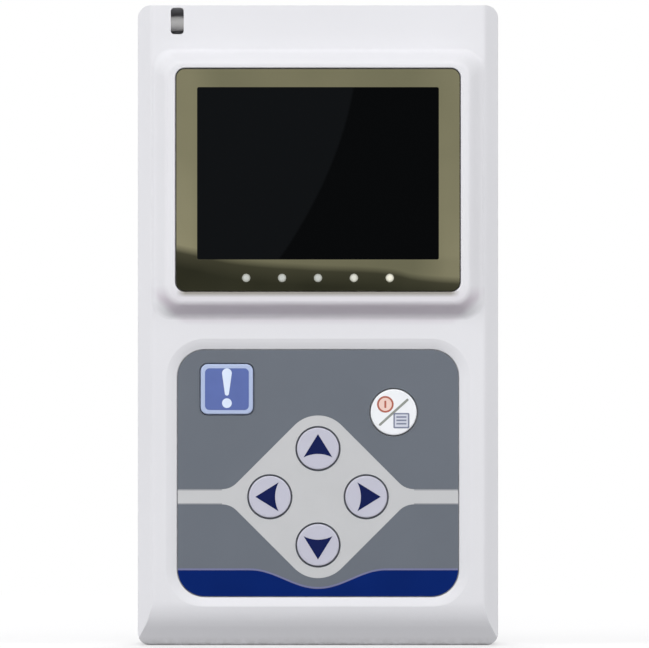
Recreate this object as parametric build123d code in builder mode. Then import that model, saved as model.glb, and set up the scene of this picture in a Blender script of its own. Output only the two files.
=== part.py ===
from build123d import *
from math import cos, pi, radians, sin, sqrt
import os

# Holter monitor: a hand-sized recorder that stands upright on its bottom end.
# Millimetres. X is the width, Y runs from the front to the back, Z is up.
# The origin is the middle of the bottom end, half way through the depth.

# Lens and the flat lip and slopes of the raised pedestal around it, as seen from the front
lens_width = 47.9
lens_height = 37.5
lens_corner = 1.5
lip_side = 1.4
lip_bottom = 1.7
lip_top = 0.7
lip_corner = 2.6
pedestal_slope_side = 2.7
pedestal_slope_bottom = 3.2
pedestal_slope_top = 2.7
pedestal_corner = 3.4
pedestal_height = 2.8
slope_steps = 6
pocket_edge_radius = 0.2

# Flat strips and bevels of the case around the pedestal and the keypad
side_strip = 0.2
side_bevel = 2.25
side_bevel_depth = 2.6
top_strip = 4.7
top_bevel = 2.7
top_bevel_depth = 2.7
middle_strip = 4.9
bottom_strip = 3.0
foot_slope = 5.2
foot_slope_depth = 3.2
bevel_edge_radius = 0.9
foot_edge_radius = 8.0
foot_toe_radius = 1.0
back_edge_radius = 2.5
outline_corner = 2.1
wall = 2.0

# Stack behind the lens, from the pedestal's face to the board
lens_set_back = 0.15
lens_thickness = 1.2
lens_edge = 0.2
adhesive_thickness = 0.2
ledge_thickness = 1.55
screen_gap = 0.1
screen_thickness = 2.4
holder_thickness = 2.8
board_thickness = 1.2

# Stack behind the board, from the board to the back
tray_gap = 0.8
tray_floor = 1.0
cell_seat_gap = 0.2
cell_diameter = 10.5
cell_door_gap = 0.2
door_seat_gap = 0.1
door_thickness = 1.6

# Screen
window_width = 40.8
window_height = 29.1
window_above_lens_edge = 5.3
screen_border_side = 2.2
screen_border_bottom = 2.1
screen_border_top = 3.6
ledge_side = 2.55
ledge_bottom = 1.3
ledge_top = 1.2
holder_inset = 0.6
holder_rail = 3.0
lamp_rail = 2.6
ribbon_width = 12.0
ribbon_thickness = 0.2
ribbon_bend = 1.0
ribbon_rise = 1.7
ribbon_set_in = 0.3

# Indicator lamps
lamp_count = 5
lamp_pitch = 6.06
lamp_diameter = 1.4
lamp_above_lens_edge = 2.2
light_bar_height = 2.2
light_bar_depth = 1.7
emitter_width = 1.6
emitter_height = 0.8
emitter_depth = 0.8

# Keypad
overlay_width = 47.8
overlay_height = 42.0
overlay_corner = 4.75
overlay_recess = 1.0
overlay_slope = 1.75
recess_first_angle = radians(20)
overlay_thickness = 0.4
arrow_spacing = 8.15
arrow_group_height = 17.0
arrow_key_diameter = 7.1
mark_key_width = 8.85
mark_key_height = 8.5
mark_key_corner = 1.2
mark_key_from_left = 8.5
mark_key_from_top = 6.8
power_key_diameter = 7.8
power_key_from_right = 11.1
power_key_from_top = 10.7
key_proud = 0.3
key_edge_radius = 0.25
key_gap = 0.2
key_flange_width = 0.8
key_flange_thickness = 0.6
key_flange_gap = 0.1
key_stem_diameter = 4.0
key_travel = 0.4

# Key switches
switch_size = 6.2
switch_height = 1.8
plunger_diameter = 3.5
plunger_proud = 0.7
plunger_depth = 0.9
plunger_floor_gap = 0.1
plunger_clearance = 0.05

# Board and what stands on it
board_from_bottom = 4.0
board_above_screen = 3.0
board_corner = 1.0
board_boss_gap = 0.6
socket_tab_margin = 1.6
connector_height = 1.8
connector_depth = 1.2
processor_size = 10.0
memory_width = 12.0
memory_height = 8.0
chip_thickness = 1.4
chip_row = 5.0
sounder_diameter = 9.0
sounder_height = 4.5
sounder_port_diameter = 2.2
sounder_port_depth = 2.2
coin_cell_diameter = 12.5
coin_cell_thickness = 2.0
coin_cell_edge = 0.2
coin_holder_wall = 0.8

# Set-back of both sockets' faces from the case
socket_set_back = 0.3

# Lead socket in the top end
lead_mouth_width = 18.0
lead_mouth_depth = 5.6
lead_mouth_height = 8.5
lead_wall = 1.2
lead_floor = 2.0
lead_pin_columns = 5
lead_pin_rows = 2
lead_pin_pitch = 3.2
lead_pin_row_pitch = 2.8
lead_pin_diameter = 0.8
lead_pin_height = 2.5
lead_pin_tail = 1.5
lead_pin_clearance = 0.02

# Data socket in the right side
data_width = 7.7
data_depth = 3.9
data_length = 9.2
data_wall = 0.4
data_insert_length = 2.0
data_tongue_width = 5.4
data_tongue_thickness = 1.0
data_tongue_length = 5.5
data_contact_count = 5
data_contact_pitch = 0.9
data_contact_width = 0.4
data_contact_thickness = 0.1
data_contact_set_back = 0.9
data_above_window = 9.7

# Battery bay, cells and door
cell_length = 44.5
cell_nub_diameter = 3.8
cell_nub_height = 1.0
cell_edge_radius = 0.4
cell_spacing = 0.6
cell_side_gap = 0.5
bay_from_bottom = 8.4
bay_wall = 1.5
contact_thickness = 0.4
contact_width = 8.0
contact_height = 8.0
spring_length = 4.8
spring_wire = 0.5
spring_diameter = 5.2
spring_turns = 4
spring_end_gap = 0.1
door_lap = 2.4
door_gap = 0.2
door_corner = 1.5
door_frame = 2.0
tab_width = 5.0
tab_thickness = 0.9
tab_length = 1.8
tab_offset = 7.0
tab_clearance = 0.3
tongue_width = 10.0
tongue_length = 7.0
tongue_slit = 0.6
nub_width = 4.0
nub_height = 0.6
nub_thickness = 0.7
grip_groove_count = 3
grip_groove_pitch = 1.4
grip_groove_width = 0.6
grip_groove_depth = 0.3
scoop_radius = 9.0
scoop_depth = 1.1
scoop_width = 14.0

# Joining the two shells
front_shell_depth = 12.0
lip_thickness = 0.9
lip_height = 1.2
lip_clearance = 0.1
seam_groove = 0.3
boss_diameter = 5.2
boss_wall_gap = 0.7
screw_diameter = 2.0
screw_head_diameter = 3.8
screw_head_height = 1.3
screw_hole_clearance = 0.2
screw_thread_clearance = 0.05
screw_counterbore = 5.0
screw_engagement = 4.0
screw_cross_length = 2.2
screw_cross_width = 0.5
screw_cross_depth = 0.7
lower_screw_height = 8.5
upper_screw_from_top = 8.8
post_diameter = 4.4
post_from_side = 3.0
lower_post_height = 10.0
post_above_keypad = 5.8
board_screw_diameter = 1.6
board_screw_head_diameter = 3.0
board_screw_head_height = 1.0
board_screw_engagement = 3.0

# Lanyard pocket in the top left corner
lanyard_slot_width = 2.2
lanyard_slot_height = 4.9
lanyard_slot_from_side = 5.6
lanyard_slot_depth = 4.6
lanyard_lip = 0.4
lanyard_roof_drop = 1.2
lanyard_pin_diameter = 2.5
lanyard_pin_above_floor = 1.85
lanyard_pin_set_back = 1.0
lanyard_pin_hold = 1.8
lanyard_pin_clearance = 0.03
lanyard_block_wall = 1.4
lanyard_block_side = 2.5
lanyard_corner = 0.6

# Rating plate on the back, bare
plate_width = 34.0
plate_height = 20.0
plate_corner = 1.5
plate_recess = 0.35
plate_thickness = 0.25
plate_above_door = 12.0

# Clearance of a piece that is laid into a pocket, and how near a plane counts as lying in it
fit_gap = 0.15
plane_tolerance = 0.01

# Overall size, from what the front and the inside hold
case_width = lens_width + 2 * (lip_side + pedestal_slope_side + side_strip + side_bevel)
keypad_bottom = foot_slope + bottom_strip
keypad_top = keypad_bottom + overlay_height
pedestal_bottom = keypad_top + middle_strip
lip_bottom_edge = pedestal_bottom + pedestal_slope_bottom
lens_bottom = lip_bottom_edge + lip_bottom
lens_top = lens_bottom + lens_height
lip_top_edge = lens_top + lip_top
pedestal_top = lip_top_edge + pedestal_slope_top
case_height = pedestal_top + top_strip + top_bevel
front_stack = (lens_set_back + lens_thickness + adhesive_thickness + ledge_thickness + screen_gap
               + screen_thickness + holder_thickness + board_thickness)
back_stack = (tray_gap + tray_floor + cell_seat_gap + cell_diameter + cell_door_gap
              + door_seat_gap + door_thickness)
case_depth = front_stack + back_stack
half_width = case_width / 2

# Depths, from the pedestal's face to the back
pedestal_y = -case_depth / 2
back_y = case_depth / 2
face_y = pedestal_y + pedestal_height
inner_front_y = face_y + wall
inner_back_y = back_y - wall
lens_front_y = pedestal_y + lens_set_back
lens_back_y = lens_front_y + lens_thickness
lens_seat_y = lens_back_y + adhesive_thickness
ledge_back_y = lens_seat_y + ledge_thickness
screen_front_y = ledge_back_y + screen_gap
screen_back_y = screen_front_y + screen_thickness
board_front_y = screen_back_y + holder_thickness
board_back_y = board_front_y + board_thickness
tray_front_y = board_back_y + tray_gap
tray_back_y = tray_front_y + tray_floor
cell_y = tray_back_y + cell_seat_gap + cell_diameter / 2
door_inner_y = back_y - door_thickness
door_seat_y = door_inner_y - door_seat_gap
split_y = pedestal_y + front_shell_depth
overlay_seat_y = face_y + overlay_recess
overlay_front_y = overlay_seat_y - overlay_thickness

# Screen and lamp heights
window_bottom = lens_bottom + window_above_lens_edge
window_top = window_bottom + window_height
screen_bottom = window_bottom - screen_border_bottom
screen_top = window_top + screen_border_top
screen_width = window_width + 2 * screen_border_side
screen_height = screen_top - screen_bottom
screen_middle = (screen_top + screen_bottom) / 2
opening_bottom = lens_bottom + ledge_bottom
opening_top = lens_top - ledge_top
opening_width = lens_width - 2 * ledge_side
ribbon_front_y = screen_back_y - ribbon_set_in - ribbon_thickness
ribbon_top = screen_top + ribbon_rise
lamp_height = lens_bottom + lamp_above_lens_edge
lamp_places = [((i - (lamp_count - 1) / 2) * lamp_pitch, lamp_height) for i in range(lamp_count)]

# Key centres as X and Z, and key radii
pad_height = keypad_bottom + arrow_group_height
key_centres = {
    "up_key": (0, pad_height + arrow_spacing),
    "down_key": (0, pad_height - arrow_spacing),
    "left_key": (-arrow_spacing, pad_height),
    "right_key": (arrow_spacing, pad_height),
    "mark_key": (-overlay_width / 2 + mark_key_from_left, keypad_top - mark_key_from_top),
    "power_menu_key": (overlay_width / 2 - power_key_from_right, keypad_top - power_key_from_top),
}
key_face_y = overlay_front_y - key_proud
flange_front_y = inner_front_y + key_flange_gap
flange_back_y = flange_front_y + key_flange_thickness
switch_top_y = board_front_y - switch_height
plunger_top_y = switch_top_y - plunger_proud
plunger_bottom_y = switch_top_y + plunger_depth
plunger_floor_y = plunger_bottom_y + key_travel + plunger_floor_gap

# Places of bosses, posts and the board's outline
boss_x = half_width - wall - boss_wall_gap - boss_diameter / 2
board_half_width = boss_x - boss_diameter / 2 - board_boss_gap
board_top = screen_top + board_above_screen
board_bottom = board_from_bottom
upper_screw_height = case_height - upper_screw_from_top
screw_places = [(x, z) for x in (-boss_x, boss_x) for z in (lower_screw_height, upper_screw_height)]
post_x = board_half_width - post_from_side
post_places = [(x, z) for x in (-post_x, post_x)
               for z in (lower_post_height, keypad_top + post_above_keypad)]
screw_seat_y = back_y - screw_counterbore

# Battery bay and door
cell_x = (cell_diameter + cell_spacing) / 2
bay_width = 2 * (cell_x + cell_diameter / 2 + cell_side_gap)
bay_bottom = bay_from_bottom
bay_length = 2 * contact_thickness + spring_length + cell_length
bay_top = bay_bottom + bay_length
bay_middle = (bay_bottom + bay_top) / 2
door_width = bay_width + 2 * door_lap
door_bottom = bay_bottom - door_lap
door_top = bay_top + door_lap
door_height = door_top - door_bottom
door_middle = (door_top + door_bottom) / 2
plate_middle = door_top + plate_above_door + plate_height / 2

# Sockets
lead_width = lead_mouth_width + 2 * lead_wall
lead_depth = lead_mouth_depth + 2 * lead_wall
lead_y = board_back_y + lead_depth / 2
lead_floor_z = case_height - lead_mouth_height
lead_bottom = lead_floor_z - lead_floor
data_y = board_back_y + data_depth / 2
data_z = window_bottom + data_above_window
data_inner_x = half_width - data_length

# Lanyard pocket, which opens through the top bevel
lanyard_x = -half_width + lanyard_slot_from_side + lanyard_slot_width / 2
lanyard_floor = case_height - lanyard_slot_height
lanyard_roof = case_height - lanyard_lip
lanyard_roof_y = face_y + top_bevel_depth * (1 - lanyard_lip / top_bevel)
lanyard_back_y = face_y + lanyard_slot_depth
lanyard_pin_z = lanyard_floor + lanyard_pin_above_floor
lanyard_pin_y = face_y + lanyard_pin_set_back + lanyard_pin_diameter / 2


def front_plane(y):
    """Plane at depth y that faces the front, with X to the right and Z up."""
    return Plane.XZ.offset(-y)


def rounded_block(width, height, corner, centre, front, back, mode=Mode.ADD):
    """Rounded rectangle seen from the front, solid from depth front to depth back."""
    with BuildSketch(front_plane(back)) as outline:
        with Locations(centre):
            RectangleRounded(width, height, corner)
    extrude(outline.sketch, amount=back - front, mode=mode)


def plain_block(width, height, centre, front, back, mode=Mode.ADD):
    """Rectangle seen from the front, solid from depth front to depth back."""
    with BuildSketch(front_plane(back)) as outline:
        with Locations(centre):
            Rectangle(width, height)
    extrude(outline.sketch, amount=back - front, mode=mode)


def round_blocks(diameter, centres, front, back, mode=Mode.ADD):
    """Round pegs or holes along the depth, at each centre, from depth front to depth back."""
    with BuildSketch(front_plane(back)) as outline:
        with Locations(*centres):
            Circle(diameter / 2)
    extrude(outline.sketch, amount=back - front, mode=mode)


def swung_form(first, last, first_y, last_y, start, end, mode=Mode.ADD):
    """Form whose sides swing from one rounded rectangle to another, along the depth.

    Each rectangle is its width, bottom, top and corner radius. The depth follows the cosine of an angle
    that grows from start to end: half a circle swings in an S, and up to a quarter rounds the first edge over.
    """
    sections = []
    for i in range(slope_steps + 1):
        share = i / slope_steps
        width, low, high, corner = [a + (b - a) * share for a, b in zip(first, last)]
        depth = (cos(start) - cos(start + (end - start) * share)) / (cos(start) - cos(end))
        with BuildSketch(front_plane(first_y + (last_y - first_y) * depth)) as outline:
            with Locations((0, (low + high) / 2)):
                RectangleRounded(width, high - low, corner)
        sections.append(outline.sketch)
    loft(sections, mode=mode)


def case_ring(outer_margin, inner_margin, front, back, mode=Mode.ADD):
    """Ring that follows the case's outline, between two margins in from it, along the depth."""
    with BuildSketch(front_plane(back)) as outline:
        with Locations((0, case_height / 2)):
            for margin, part_mode in ((outer_margin, Mode.ADD), (inner_margin, Mode.SUBTRACT)):
                RectangleRounded(case_width - 2 * margin, case_height - 2 * margin,
                                 max(outline_corner - margin, outline_corner / 2), mode=part_mode)
    extrude(outline.sketch, amount=back - front, mode=mode)


def case_form(inset):
    """Form of the closed case without its pedestal, drawn in by inset all round.

    It is what three straight extrusions have in common: the outline seen from the front,
    the section seen from above and the section seen from the side.
    """
    with BuildPart() as form:
        with BuildSketch(Plane.XY):
            with BuildLine():
                Polyline((-half_width + side_bevel, face_y), (half_width - side_bevel, face_y),
                         (half_width, face_y + side_bevel_depth), (half_width, back_y),
                         (-half_width, back_y), (-half_width, face_y + side_bevel_depth), close=True)
            make_face()
            if inset:
                offset(amount=-inset, kind=Kind.INTERSECTION)
            else:
                for side in (-1, 1):
                    for corner, radius in (((half_width, back_y), back_edge_radius),
                                           ((half_width, face_y + side_bevel_depth), bevel_edge_radius),
                                           ((half_width - side_bevel, face_y), bevel_edge_radius)):
                        fillet(vertices().sort_by_distance((side * corner[0], corner[1]))[0], radius)
        extrude(amount=case_height)
        with BuildSketch(Plane.YZ):
            with BuildLine():
                Polyline((face_y, foot_slope), (face_y, case_height - top_bevel),
                         (face_y + top_bevel_depth, case_height), (back_y, case_height),
                         (back_y, 0), (face_y + foot_slope_depth, 0), close=True)
            make_face()
            if inset:
                offset(amount=-inset, kind=Kind.INTERSECTION)
            else:
                for corner, radius in (((back_y, 0), back_edge_radius),
                                       ((back_y, case_height), back_edge_radius),
                                       ((face_y + top_bevel_depth, case_height), bevel_edge_radius),
                                       ((face_y, case_height - top_bevel), bevel_edge_radius),
                                       ((face_y, foot_slope), foot_edge_radius),
                                       ((face_y + foot_slope_depth, 0), foot_toe_radius)):
                    fillet(vertices().sort_by_distance(corner)[0], radius)
        extrude(amount=case_width, both=True, mode=Mode.INTERSECT)
        with BuildSketch(front_plane(back_y)):
            with Locations((0, case_height / 2)):
                RectangleRounded(case_width - 2 * inset, case_height - 2 * inset,
                                 max(outline_corner - inset, outline_corner / 2))
        extrude(amount=case_depth, mode=Mode.INTERSECT)
    return form.part


def key_outline(name, growth):
    """Draw one key's outline, grown by growth, in the open sketch."""
    with Locations(key_centres[name]):
        if name == "mark_key":
            RectangleRounded(mark_key_width + 2 * growth, mark_key_height + 2 * growth,
                             mark_key_corner + growth)
        elif name == "power_menu_key":
            Circle(power_key_diameter / 2 + growth)
        else:
            Circle(arrow_key_diameter / 2 + growth)


def cross_screw(place, seat, tip, shank, head, head_height):
    """Pan head screw that goes in from the back, its head on depth seat and its end at depth tip."""
    round_blocks(shank, [place], tip, seat)
    round_blocks(head, [place], seat, seat + head_height)
    for across, along in ((screw_cross_length, screw_cross_width), (screw_cross_width, screw_cross_length)):
        plain_block(across, along, place, seat + head_height - screw_cross_depth,
                    seat + head_height, Mode.SUBTRACT)


def spring_line(radius, rise, turns):
    """Helix from two arcs for each quarter turn, as a list of arc ends and start directions."""
    slope = rise / (2 * pi * radius * turns)
    steps = 4 * turns
    points = []
    directions = []
    for i in range(steps + 1):
        angle = 2 * pi * turns * i / steps
        points.append(Vector(radius * cos(angle), radius * sin(angle), rise * i / steps))
        directions.append(Vector(-sin(angle), cos(angle), slope).normalized())
    arcs = []
    for p0, p1, t0, t1 in zip(points, points[1:], directions, directions[1:]):
        chord = p1 - p0
        both = t0 + t1
        bend = 2 * (1 - t0.dot(t1))
        reach = (sqrt(chord.dot(both) ** 2 + bend * chord.dot(chord)) - chord.dot(both)) / bend
        joint = ((p0 + t0 * reach) + (p1 - t1 * reach)) * 0.5
        middle = ((p1 - t1 * reach) - (p0 + t0 * reach)).normalized()
        arcs.append((p0, joint, t0))
        arcs.append((joint, p1, middle))
    return arcs


def least_turn_gap(arcs):
    """Least clear distance between points of the wire that are half a turn or more apart."""
    points = [start for start, end, direction in arcs]
    half_turn = 4
    nearest = min((a - b).length for i, a in enumerate(points) for b in points[i + half_turn:])
    return nearest - spring_wire


def front_edges(part, y, reach):
    """Edges of a part that lie flat at depth y, no further than reach to either side."""
    found = []
    for edge in part.edges().filter_by_position(Axis.Y, y - plane_tolerance, y + plane_tolerance):
        box = edge.bounding_box()
        flat = box.max.Y - box.min.Y < plane_tolerance
        if flat and max(-box.min.X, box.max.X) < reach + plane_tolerance:
            found.append(edge)
    return found


def save(part, name):
    """Label a finished piece and write it to its own file."""
    part.label = name
    export_step(part, f"parts/{name}.step")


os.makedirs("parts", exist_ok=True)

# Outer form and inner hollow of the closed case
outer_form = case_form(0)
inner_form = case_form(wall)

# Places that the two sockets take out of both shells
with BuildPart() as socket_space:
    with BuildSketch(Plane.XY.offset(lead_bottom - fit_gap)):
        with Locations((0, lead_y)):
            Rectangle(lead_width + 2 * fit_gap, lead_depth + 2 * fit_gap)
    extrude(amount=case_height)
    with BuildSketch(Plane.YZ.offset(data_inner_x - fit_gap)):
        with Locations((data_y, data_z)):
            Rectangle(data_depth + 2 * fit_gap, data_width + 2 * fit_gap)
    extrude(amount=case_width)

# Room inside the front shell, around its screw bosses, board posts and lanyard block
lanyard_block_bottom = lanyard_floor - lanyard_block_wall
with BuildPart() as front_hollow:
    add(inner_form)
    split(bisect_by=Plane.XZ.offset(-split_y), keep=Keep.TOP)
    round_blocks(boss_diameter, screw_places, pedestal_y, split_y, Mode.SUBTRACT)
    round_blocks(post_diameter, post_places, pedestal_y, board_front_y, Mode.SUBTRACT)
    plain_block(lanyard_slot_width + 2 * lanyard_block_side, case_height,
                (lanyard_x, lanyard_block_bottom + case_height / 2), pedestal_y,
                lanyard_back_y + lanyard_block_wall, Mode.SUBTRACT)

# Lanyard pocket, whose roof slopes down so that a cord goes in above the pin and comes out below it
with BuildPart() as lanyard_pocket:
    rounded_block(lanyard_slot_width, lanyard_roof - lanyard_floor, lanyard_corner,
                  (lanyard_x, (lanyard_roof + lanyard_floor) / 2), pedestal_y, lanyard_back_y)
    with BuildSketch(Plane.YZ.offset(lanyard_x)) as roof_side:
        with BuildLine():
            Polyline((lanyard_roof_y, lanyard_roof), (lanyard_back_y, lanyard_roof - lanyard_roof_drop),
                     (lanyard_back_y, case_height), (lanyard_roof_y, case_height), close=True)
        make_face()
    extrude(roof_side.sketch, amount=lanyard_slot_width, both=True, mode=Mode.SUBTRACT)

# Front shell
with BuildPart() as front_case:
    add(outer_form)
    split(bisect_by=Plane.XZ.offset(-split_y), keep=Keep.TOP)
    # Pedestal, whose slopes swing up from the face to the flat lip round the lens
    lip_width = lens_width + 2 * lip_side
    pedestal_width = lip_width + 2 * pedestal_slope_side
    swung_form((pedestal_width, pedestal_bottom, pedestal_top, pedestal_corner),
               (lip_width, lip_bottom_edge, lip_top_edge, lip_corner), face_y, pedestal_y, 0, pi)
    rounded_block(pedestal_width, pedestal_top - pedestal_bottom, pedestal_corner,
                  (0, (pedestal_bottom + pedestal_top) / 2), face_y, face_y + wall / 2)
    # Lens pocket, with its front edge rounded
    rounded_block(lens_width + 2 * fit_gap, lens_height + 2 * fit_gap, lens_corner + fit_gap,
                  (0, (lens_bottom + lens_top) / 2), pedestal_y, lens_seat_y, Mode.SUBTRACT)
    fillet(front_edges(front_case, pedestal_y, lens_width / 2 + fit_gap), pocket_edge_radius)
    # Keypad recess: edges that round over from the face, and a pocket with the sheet's own outline
    swung_form((overlay_width + 2 * overlay_slope, keypad_bottom - overlay_slope,
                keypad_top + overlay_slope, overlay_corner + overlay_slope),
               (overlay_width, keypad_bottom, keypad_top, overlay_corner),
               face_y, overlay_front_y, recess_first_angle, pi / 2, Mode.SUBTRACT)
    rounded_block(overlay_width, overlay_height, overlay_corner, (0, (keypad_bottom + keypad_top) / 2),
                  overlay_front_y, overlay_seat_y, Mode.SUBTRACT)
    # Inner hollow, the opening behind the lens and the pocket that takes the screen from the inside
    add(front_hollow.part, mode=Mode.SUBTRACT)
    plain_block(opening_width, opening_top - opening_bottom, (0, (opening_bottom + opening_top) / 2),
                pedestal_y, inner_front_y, Mode.SUBTRACT)
    plain_block(screen_width + 2 * fit_gap, screen_height + 2 * fit_gap, (0, screen_middle),
                ledge_back_y, inner_front_y, Mode.SUBTRACT)
    # Relief for the screen's ribbon, where the wall comes near it
    plain_block(ribbon_width + 2 * fit_gap, 2 * (ribbon_rise + fit_gap), (0, screen_top),
                ribbon_front_y - fit_gap, max(inner_front_y, ribbon_front_y), Mode.SUBTRACT)
    # Key holes
    for key_name in key_centres:
        with BuildSketch(front_plane(inner_front_y)):
            key_outline(key_name, key_gap)
        extrude(amount=wall, mode=Mode.SUBTRACT)
    # Threaded holes in bosses and posts
    round_blocks(screw_diameter + 2 * screw_thread_clearance, screw_places,
                 split_y - screw_engagement - screw_hole_clearance, split_y, Mode.SUBTRACT)
    round_blocks(board_screw_diameter + 2 * screw_thread_clearance, post_places,
                 board_front_y - board_screw_engagement - screw_hole_clearance, board_front_y, Mode.SUBTRACT)
    # Rebate for the rear shell's lip, and the groove that shows as the seam
    case_ring(wall - lip_thickness - lip_clearance, wall, split_y - lip_height - lip_clearance, split_y,
              Mode.SUBTRACT)
    case_ring(-wall, seam_groove, split_y - seam_groove, split_y, Mode.SUBTRACT)
    # Lanyard pocket, with the two holes that hold its pin
    add(lanyard_pocket.part, mode=Mode.SUBTRACT)
    with BuildSketch(Plane.YZ.offset(lanyard_x)) as pin_hole:
        with Locations((lanyard_pin_y, lanyard_pin_z)):
            Circle(lanyard_pin_diameter / 2 + lanyard_pin_clearance)
    extrude(pin_hole.sketch, amount=lanyard_slot_width / 2 + lanyard_pin_hold, both=True, mode=Mode.SUBTRACT)
    add(socket_space.part, mode=Mode.SUBTRACT)
save(front_case.part, "front_case")

# Room inside the rear shell, around its screw bosses, the battery bay and the door's frame
with BuildPart() as rear_hollow:
    add(inner_form)
    split(bisect_by=Plane.XZ.offset(-split_y), keep=Keep.BOTTOM)
    round_blocks(boss_diameter, screw_places, split_y, back_y, Mode.SUBTRACT)
    plain_block(bay_width + 2 * bay_wall, bay_length + 2 * bay_wall, (0, bay_middle), split_y, back_y,
                Mode.SUBTRACT)
    plain_block(door_width + 2 * (door_gap + bay_wall), door_height + 2 * (door_gap + bay_wall),
                (0, door_middle), door_seat_y - door_frame, back_y, Mode.SUBTRACT)

# Rear shell
hinge_reach = sqrt((back_y - door_inner_y) ** 2 + tab_length ** 2) + tab_clearance
tab_back_y = door_inner_y + tab_thickness
with BuildPart() as rear_case:
    add(outer_form)
    split(bisect_by=Plane.XZ.offset(-split_y), keep=Keep.BOTTOM)
    add(rear_hollow.part, mode=Mode.SUBTRACT)
    # Battery tray, which reaches into the front shell, and the lip that locates the two shells
    plain_block(bay_width + 2 * bay_wall, bay_length + 2 * bay_wall, (0, bay_middle), tray_front_y, split_y)
    case_ring(wall - lip_thickness, wall, split_y - lip_height, split_y)
    plain_block(bay_width, bay_length, (0, bay_middle), tray_back_y, back_y, Mode.SUBTRACT)
    # Door opening, the pockets that the door's tabs turn in and the notch for its latch nub
    rounded_block(door_width + 2 * door_gap, door_height + 2 * door_gap, door_corner + door_gap,
                  (0, door_middle), door_seat_y, back_y, Mode.SUBTRACT)
    for side in (-1, 1):
        with BuildSketch(Plane.YZ.offset(side * tab_offset)) as tab_pocket:
            with Locations((back_y, door_bottom)):
                Circle(hinge_reach)
            with Locations((tab_back_y + tab_clearance / 2 + hinge_reach, door_bottom)):
                Rectangle(2 * hinge_reach, 2 * hinge_reach, mode=Mode.SUBTRACT)
        extrude(tab_pocket.sketch, amount=tab_width / 2 + tab_clearance, both=True, mode=Mode.SUBTRACT)
    plain_block(nub_width + 2 * door_gap, 2 * (nub_height + door_gap), (0, door_top),
                door_seat_y, back_y, Mode.SUBTRACT)
    # Thumb scoop above the door
    with BuildSketch(Plane.YZ) as scoop:
        with Locations((back_y + scoop_radius - scoop_depth, door_top)):
            Circle(scoop_radius)
    extrude(scoop.sketch, amount=scoop_width / 2, both=True, mode=Mode.SUBTRACT)
    # Screw holes, their counterbores and the recess for the rating plate
    round_blocks(screw_diameter + 2 * screw_hole_clearance, screw_places, split_y, back_y, Mode.SUBTRACT)
    round_blocks(screw_head_diameter + 2 * fit_gap, screw_places, screw_seat_y, back_y, Mode.SUBTRACT)
    rounded_block(plate_width + 2 * fit_gap, plate_height + 2 * fit_gap, plate_corner + fit_gap,
                  (0, plate_middle), back_y - plate_recess, back_y, Mode.SUBTRACT)
    add(socket_space.part, mode=Mode.SUBTRACT)
save(rear_case.part, "rear_case")

# Battery door, with two tabs under the rim at its lower edge and a latch tongue at its upper edge
with BuildPart() as battery_door:
    rounded_block(door_width, door_height, door_corner, (0, door_middle), door_inner_y, back_y)
    for side in (-1, 1):
        plain_block(tab_width, 2 * tab_length, (side * tab_offset, door_bottom), door_inner_y, tab_back_y)
        plain_block(tongue_slit, 2 * tongue_length, (side * (tongue_width + tongue_slit) / 2, door_top),
                    door_inner_y, back_y, Mode.SUBTRACT)
    plain_block(nub_width, 2 * nub_height, (0, door_top), door_inner_y, door_inner_y + nub_thickness)
    for i in range(grip_groove_count):
        plain_block(tongue_width - 2 * tongue_slit, grip_groove_width,
                    (0, door_top - (i + 1) * grip_groove_pitch), back_y - grip_groove_depth, back_y,
                    Mode.SUBTRACT)
save(battery_door.part, "battery_door")

# Rating plate, a bare foil in its recess
with BuildPart() as rating_plate:
    rounded_block(plate_width, plate_height, plate_corner, (0, plate_middle),
                  back_y - plate_recess, back_y - plate_recess + plate_thickness)
save(rating_plate.part, "rating_plate")

# Display lens and the adhesive frame that holds it on the ledge
lens_middle = (lens_bottom + lens_top) / 2
with BuildPart() as display_lens:
    rounded_block(lens_width, lens_height, lens_corner, (0, lens_middle), lens_front_y, lens_back_y)
    chamfer(edges().group_by(Axis.Y)[0], lens_edge)
save(display_lens.part, "display_lens")

with BuildPart() as lens_adhesive:
    rounded_block(lens_width - 2 * fit_gap, lens_height - 2 * fit_gap, lens_corner, (0, lens_middle),
                  lens_back_y, lens_seat_y)
    plain_block(opening_width + fit_gap, opening_top - opening_bottom + fit_gap,
                (0, (opening_bottom + opening_top) / 2), lens_back_y, lens_seat_y, Mode.SUBTRACT)
save(lens_adhesive.part, "lens_adhesive")

# Screen, a flat module with its glass towards the lens
with BuildPart() as screen:
    plain_block(screen_width, screen_height, (0, screen_middle), screen_front_y, screen_back_y)
save(screen.part, "screen")

# Frame between the screen and the board, which also carries the light guide
holder_bottom = lamp_height - lamp_rail
holder_top = screen_top + holder_inset
holder_width = screen_width - 2 * holder_inset
light_bar_width = (lamp_count - 1) * lamp_pitch + 2 * light_bar_height
light_bar_front_y = screen_back_y + screen_gap
light_bar_back_y = light_bar_front_y + light_bar_depth
with BuildPart() as screen_holder:
    plain_block(holder_width, holder_top - holder_bottom, (0, (holder_top + holder_bottom) / 2),
                screen_back_y, board_front_y)
    window_low = lamp_height + lamp_rail
    window_high = holder_top - holder_rail
    plain_block(holder_width - 2 * holder_rail, window_high - window_low, (0, (window_low + window_high) / 2),
                screen_back_y, board_front_y, Mode.SUBTRACT)
    plain_block(light_bar_width + 2 * fit_gap, light_bar_height + 2 * fit_gap, (0, lamp_height),
                screen_back_y, light_bar_back_y + fit_gap, Mode.SUBTRACT)
    for lamp_place in lamp_places:
        plain_block(emitter_width + 2 * fit_gap, emitter_height + 2 * fit_gap, lamp_place,
                    light_bar_back_y, board_front_y, Mode.SUBTRACT)
save(screen_holder.part, "screen_holder")

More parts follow.
